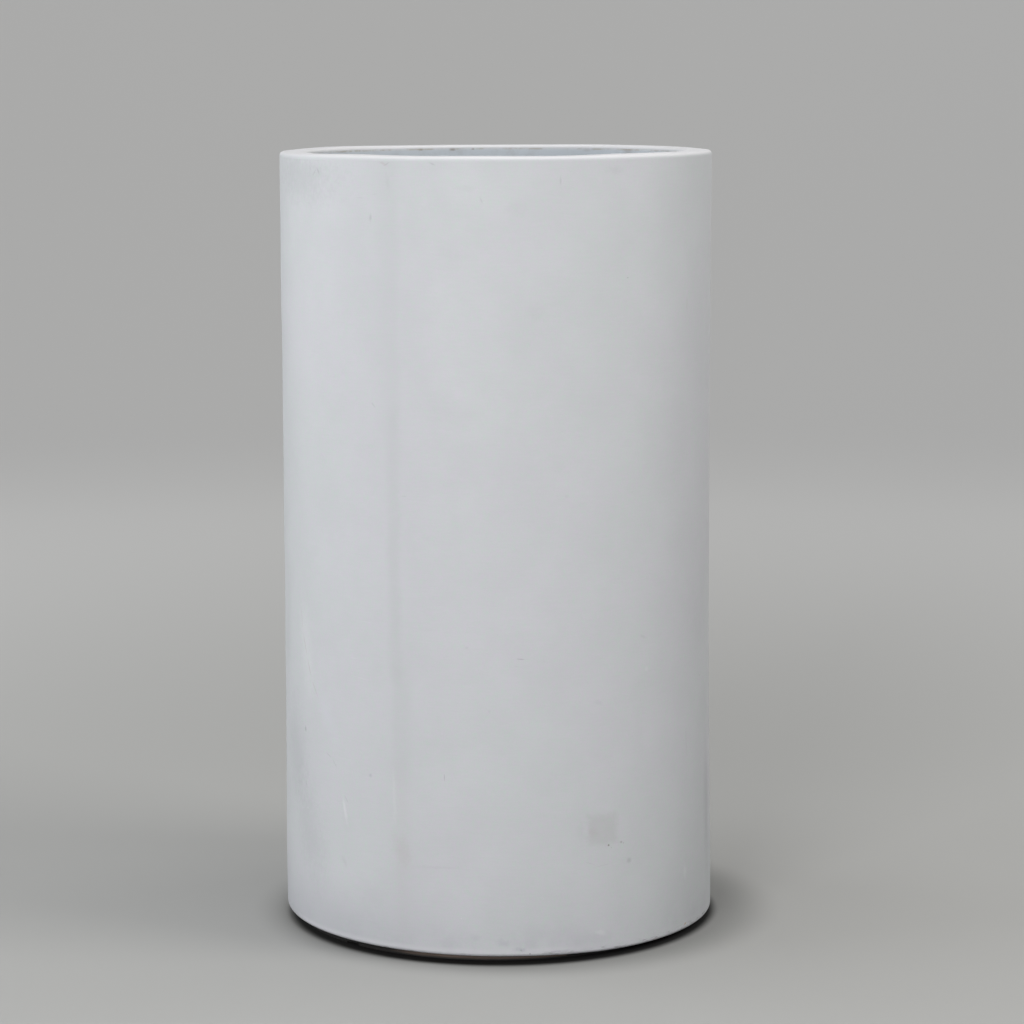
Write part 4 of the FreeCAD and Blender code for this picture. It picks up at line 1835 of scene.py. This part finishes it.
def set_exact_normals(mesh: Mesh, normals: Array) -> None:
    """Shades a mesh's outer face by the form itself, so that pieces that meet show no line.

    Args:
        mesh: the mesh.
        normals: a unit vector for each point of the outer face, and no number for the others.
    """
    corners = np.empty(len(mesh.loops) * 3)
    mesh.corner_normals.foreach_get("vector", corners)
    corners = corners.reshape(-1, 3)
    vertices = np.empty(len(mesh.loops), dtype=np.int32)
    mesh.loops.foreach_get("vertex_index", vertices)
    faces = np.repeat(np.arange(len(mesh.polygons)), [len(p.vertices) for p in mesh.polygons])
    known = ~np.isnan(normals[vertices]).any(axis=1)
    whole = np.ones(len(mesh.polygons), dtype=bool)
    np.logical_and.at(whole, faces, known)
    agrees = (corners * np.nan_to_num(normals[vertices])).sum(axis=1) > SAME_WAY
    fits = np.ones(len(mesh.polygons), dtype=bool)
    np.logical_and.at(fits, faces, agrees)
    take = whole[faces] & fits[faces]
    corners[take] = normals[vertices[take]]
    mesh.normals_split_custom_set(corners)


@dataclass
class Rim:
    """The rim ring: a flat lip, rounded by hand, and the return inside it."""

    columns: int = 420
    outer_round: float = 5 * MM
    inner_round: float = 4 * MM
    toe_round: float = 1.5 * MM
    round_steps: int = 7
    toe_steps: int = 4
    flat_steps: int = 8
    return_thickness: float = 5 * MM
    rise: Ripple = field(default_factory=lambda: Ripple(31, 0.22 * MM, (2, 11), (9.0, 10.0), 9))
    mouth: Ripple = field(default_factory=lambda: Ripple(32, 0.28 * MM, (2, 14), (0.15, 0.4), 10))

    def build(self) -> None:
        """Makes the ring."""
        bearings = full_turn(self.columns)
        profile = self._profile()
        loops = np.empty((self.columns, len(profile), 3))
        rim_edge = FORM.radius(bearings, np.full(self.columns, SIZES.wall_top)) - SIZES.rim_radius
        for k, (radius, level) in enumerate(profile):
            outer = np.clip((radius - SIZES.mouth_radius) / SIZES.lip_width, 0.0, 1.0)
            top = soft_step(np.array(level), SIZES.wall_top, SIZES.height)
            wander = self.mouth(bearings, np.full(self.columns, level)) * (1 - outer) * (outer < 1)
            lifted = level + top * self.rise(bearings, np.zeros(self.columns))
            loops[:, k] = ring_points(bearings, radius + outer**4 * rim_edge + wander, lifted)
        shell = Shell()
        shell.sweep(FORM.settle(loops), True)
        Piece("rim_ring", "white_coat").place(shell, RimCoat().rim(), sharp=50)

    def _profile(self) -> Section:
        """The ring's section, from its outer bottom edge over the lip and down the return.

        Returns:
            Its (radius, level) points.
        """
        radius, mouth, height = SIZES.rim_radius, SIZES.mouth_radius, SIZES.height
        back = mouth + self.return_thickness
        bottom, steps, turn = SIZES.return_bottom, self.flat_steps, self.round_steps
        flat = np.linspace(radius - self.outer_round, mouth + self.inner_round, steps)[1:-1]
        drop = np.linspace(height - self.inner_round, bottom + self.toe_round, steps)[1:-1]
        return [
            (radius, SIZES.wall_top),
            *corner(radius - self.outer_round, height - self.outer_round, self.outer_round, 0, turn),
            *[(float(r), height) for r in flat],
            *corner(mouth + self.inner_round, height - self.inner_round, self.inner_round, 90, turn),
            *[(mouth, float(level)) for level in drop],
            *corner(mouth + self.toe_round, bottom + self.toe_round, self.toe_round, 180, self.toe_steps),
            (back, bottom),
            (back, (bottom + SIZES.wall_top) / 2),
            (back, SIZES.wall_top),
        ]


@dataclass
class Lining:
    """What is laid up inside: the floor skin, the corner strip and the tapes over the seams."""

    columns: int = 300
    floor_rings: int = 44
    flange_reach: float = 30 * MM
    calm_width: float = 12 * MM
    calm_edge: tuple[float, float] = (0.236, 0.246)
    tab_thickness: float = 2.5 * MM
    tab_cove: float = 10 * MM
    tab_steps: int = 6
    tape_columns: int = 21
    tape_rows: int = 150
    tape_feather: tuple[float, float] = (0.90, 1.0)
    feathered: float = 0.8
    skin_ripple: Ripple = field(default_factory=lambda: Ripple(41, 0.5 * MM, (2, 13), (0.05, 0.16), 16))
    edge_ripple: Ripple = field(default_factory=lambda: Ripple(42, 1.5 * MM, (5, 40), (0.3, 0.5), 16))

    def build(self) -> None:
        """Makes the three pieces."""
        laminate = RawLaminate().material("raw_laminate_lining")
        self._skin(laminate)
        self._tab(laminate)
        self._tapes(RawLaminate().material("raw_laminate_tapes", overspray_level=0.76))

    def _skin(self, laminate: Material) -> None:
        """Makes the inside floor.

        Args:
            laminate: its finish.
        """
        bearings = full_turn(self.columns)
        hole = SIZES.sleeve_radius + SIZES.bond_gap
        radii = np.linspace(SIZES.lining_radius, hole, self.floor_rings)
        bearing, radius = np.meshgrid(bearings, radii, indexing="ij")
        calm = soft_step(radius, self.flange_reach, self.flange_reach + self.calm_width)
        calm = calm * (1 - soft_step(radius, *self.calm_edge))
        top = SIZES.floor_top + self.skin_ripple(bearing, radius) * calm
        upper = ring_points(bearing, radius, top)
        lower = ring_points(bearings[:, None], np.array([[hole, SIZES.lining_radius]]), SIZES.board_top)
        shell = Shell()
        shell.sweep(np.concatenate([upper, lower], axis=1), True)
        Piece("base_skin", "raw_laminate").place(shell, laminate)

    def _tab(self, laminate: Material) -> None:
        """Makes the strip in the corner between floor and wall.

        Args:
            laminate: its finish.
        """
        bearings = full_turn(self.columns)
        outer, floor, top = SIZES.lining_radius, SIZES.floor_top, SIZES.tab_top
        thickness, cove, steps = self.tab_thickness, self.tab_cove, self.tab_steps
        inner = outer - thickness
        toe = outer - SIZES.tab_spread
        path = [(toe, floor), (toe + 0.8 * MM, floor + 1.4 * MM), (toe + 4 * MM, floor + thickness)]
        path += [(float(r), floor + thickness) for r in np.linspace(toe + 9 * MM, inner - cove, steps)]
        path += corner(inner - cove, floor + thickness + cove, cove, -90, steps)[1:]
        path += [(inner, float(z)) for z in np.linspace(floor + thickness + cove, top - 4 * MM, steps)[1:]]
        path += [(inner + 0.8 * MM, top - 0.6 * MM), (outer, top), (outer, (floor + top) / 2), (outer, floor)]
        loops = np.empty((self.columns, len(path), 3))
        frayed = self.edge_ripple(bearings, np.zeros(self.columns))
        torn = self.edge_ripple(bearings, np.full(self.columns, 0.2))
        for k, (radius, level) in enumerate(path):
            at_toe = 1 - soft_step(np.array(radius), toe, toe + self.calm_width)
            at_top = soft_step(np.array(level), top - self.calm_width, top)
            lump = self.skin_ripple(bearings + 1.0, np.full(self.columns, radius + level))
            lump = lump * (outer - radius > 1 * MM) * (1 - at_top) * (level > floor + 1 * MM)
            upright = soft_step(np.array(level), floor + thickness, floor + thickness + cove)
            loops[:, k] = ring_points(
                bearings,
                radius + at_toe * frayed - np.abs(lump) * upright,
                level + at_top * np.abs(torn) + np.abs(lump) * (1 - upright),
            )
        shell = Shell()
        shell.sweep(loops, True)
        Piece("corner_tab", "raw_laminate").place(shell, laminate)

    def _tapes(self, laminate: Material) -> None:
        """Makes the strips up the inside of the seams.

        Args:
            laminate: their finish.
        """
        radius = SIZES.lining_radius
        half = SIZES.tape_width / 2 / radius
        shares = np.linspace(-1.0, 1.0, self.tape_columns)
        levels = np.linspace(SIZES.tab_top, SIZES.core_bottom, self.tape_rows)
        shell = Shell()
        for seam in SIZES.seam_bearings:
            share, level = np.meshgrid(shares, levels, indexing="ij")
            side = np.sign(share) * self.edge_ripple(3.0 * np.sign(share) + seam, level * 6) / radius
            bearing = seam + half * share + side * share * share
            feather = 1 - soft_step(np.abs(share), *self.tape_feather) * self.feathered
            bumps = self.skin_ripple(bearing, level) * self.feathered
            thickness = (SIZES.tape_thickness + bumps) * feather
            inner = ring_points(bearing, radius - thickness, level)
            outer = ring_points(bearing, radius, level)
            shell.sweep(FORM.settle(np.concatenate([outer, inner[:, ::-1]], axis=1)), False)
        Piece("seam_tapes", "raw_laminate").place(shell, laminate)


@dataclass
class Drain:
    """The flanged sleeve in the floor and the bung that lifts out of it."""

    columns: int = 96
    flange_radius: float = 30 * MM
    flange_thickness: float = 3 * MM
    flange_round: float = 1.2 * MM
    head_radius: float = 23 * MM
    head_thickness: float = 4 * MM
    head_round: float = 1.5 * MM
    stem_length: float = 14 * MM
    plug_gap: float = 0.3 * MM
    grip_length: float = 30 * MM
    grip_thickness: float = 7 * MM
    grip_height: float = 14 * MM
    grip_round: float = 2.5 * MM
    grip_squareness: float = 0.42
    dish: float = 0.5 * MM
    sleeve_ribs: int = 24
    sleeve_rib_band: tuple[float, float] = (24 * MM, 27.5 * MM)
    stem_ribs: int = 3

    def build(self) -> None:
        """Makes the sleeve and the plug."""
        self._sleeve()
        self._plug()

    @property
    def flange_top(self) -> float:
        """The top of the sleeve, where the plug's head sits."""
        return SIZES.floor_top + self.flange_thickness

    def _sleeve(self) -> None:
        """Makes the sleeve, with shallow ribs under the head's edge."""
        bearings = full_turn(self.columns * 2)
        bore, outer, size = SIZES.bore_radius, SIZES.sleeve_radius, self.flange_round
        bottom, floor, top = SIZES.foot_level, SIZES.floor_top, self.flange_top
        path = [
            (bore, bottom), (bore + 0.6 * MM, bottom), (outer - 0.4 * MM, bottom),
            (outer, bottom + 0.4 * MM), (outer, floor), (self.flange_radius - 0.4 * MM, floor),
            *corner(self.flange_radius - size, top - size, size, 0, 5),
            (26 * MM, top), (24.5 * MM, top), (23.5 * MM, top),
            (bore + 0.8 * MM, top), (bore, top - 0.6 * MM), (bore, (top + bottom) / 2),
        ]
        ribs = 0.5 * MM * (np.cos(bearings * self.sleeve_ribs) > 0.2)
        loops = np.empty((len(bearings), len(path), 3))
        inner_edge, outer_edge = self.sleeve_rib_band
        for k, (radius, level) in enumerate(path):
            ribbed = inner_edge < radius < outer_edge and level > floor + 1 * MM
            loops[:, k] = ring_points(bearings, radius, level - ribs * ribbed)
        shell = Shell()
        shell.sweep(loops, True)
        Piece("drain_sleeve", "grey_plastic").place(shell, GREY_PLASTIC.material())

    def _plug(self) -> None:
        """Makes the plug: a ribbed stem, a dished head and a bar to lift it by."""
        stem = SIZES.bore_radius - self.plug_gap
        low = self.flange_top - self.stem_length
        top = self.flange_top + self.head_thickness
        groove = stem - 0.9 * MM
        profile = [(0.0, low), (stem - 2.4 * MM, low)]
        profile += corner(stem - 2 * MM, low + 2 * MM, 2 * MM, -90, 4)[1:]
        for rib in range(self.stem_ribs):
            base = low + (3 + 2.6 * rib) * MM
            profile += [(stem, base), (groove, base + 0.8 * MM)]
            profile += [(groove, base + 1.6 * MM), (stem, base + 2.2 * MM)]
        profile += [
            (stem, self.flange_top), (self.head_radius - 0.5 * MM, self.flange_top),
            *corner(self.head_radius - self.head_round, top - self.head_round, self.head_round, 0, 5),
            (self.head_radius - 3.5 * MM, top), (self.head_radius - 4.5 * MM, top - self.dish),
            (8 * MM, top - self.dish), (0.0, top - self.dish),
        ]
        shell = Shell()
        shell.lathe(profile, self.columns)
        self._grip(shell, top - self.dish)
        Piece("drain_plug", "black_rubber", "drain_plug").place(shell, BLACK_RUBBER.material())

    def _grip(self, shell: Shell, bottom: float) -> None:
        """Adds the lifting bar, waisted between finger and thumb.

        Args:
            shell: the plug.
            bottom: where it grows out of the head.
        """
        around = full_turn(self.columns // 2)
        top = bottom + self.dish + self.grip_height
        root = [bottom - 0.5 * MM, bottom, bottom + 1.2 * MM]
        levels = np.concatenate([root, np.linspace(bottom + 3 * MM, top - self.grip_round, 7)])
        rings = []
        for level in levels:
            flare = 1.2 * MM * (1 - soft_step(np.array(level), bottom, bottom + 2.5 * MM))
            hollow = 1.1 * MM * math.exp(-(((level - bottom) / self.grip_height - 0.55) / 0.25) ** 2)
            rings.append((self.grip_length / 2 + flare, self.grip_thickness / 2 + flare - hollow, level))
        for step in range(1, 6):
            angle = math.radians(90.0 * step / 6)
            shrink = self.grip_round * (1 - math.cos(angle))
            level = top - self.grip_round * (1 - math.sin(angle))
            rings.append((self.grip_length / 2 - shrink, self.grip_thickness / 2 - shrink, level))
        across, along = (
            np.sign(wave) * np.abs(wave) ** self.grip_squareness for wave in (np.cos(around), np.sin(around))
        )
        points = [
            np.stack([half_length * across, half_width * along, np.full(len(around), level)], axis=-1)
            for half_length, half_width, level in rings
        ]
        base = shell.count
        size = len(around)
        shell.points.append(np.concatenate(points))
        shell.count += size * len(rings)
        for ring in range(len(rings) - 1):
            for j in range(size):
                k = (j + 1) % size
                low, high = base + ring * size, base + (ring + 1) * size
                shell.faces.append((low + j, low + k, high + k, high + j))
        shell.faces.append(tuple(base + (len(rings) - 1) * size + j for j in range(size)))
        shell.faces.append(tuple(base + j for j in reversed(range(size))))
        shell.finishes += [0] * (len(shell.faces) - len(shell.finishes))


@dataclass
class Carpentry:
    """The timber and steel that keep the construction model's own shapes."""

    def build(self) -> None:
        """Gives each node its finish."""
        finishes = {
            "rim_core": Plywood().material(),
            "base_board": Plywood().material(),
            "foot_ring": FootPaint().material(),
            "foot_screws": ZincSteel().material(),
        }
        for node, material in finishes.items():
            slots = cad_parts[node].data.materials
            slots.clear()
            slots.append(material)
            log.info("%s: %s", node, material.name)


# ---------------------------------------------------------------------------------------------
# The whole
# ---------------------------------------------------------------------------------------------


def main() -> None:
    """Builds the planter, piece by piece, and the studio round it."""
    logging.basicConfig(level=logging.INFO, format="%(message)s")
    PHOTO.build()
    Studio().build()
    Wall().build()
    Rim().build()
    Lining().build()
    Drain().build()
    Carpentry().build()


if __name__ == "__main__":
    main()
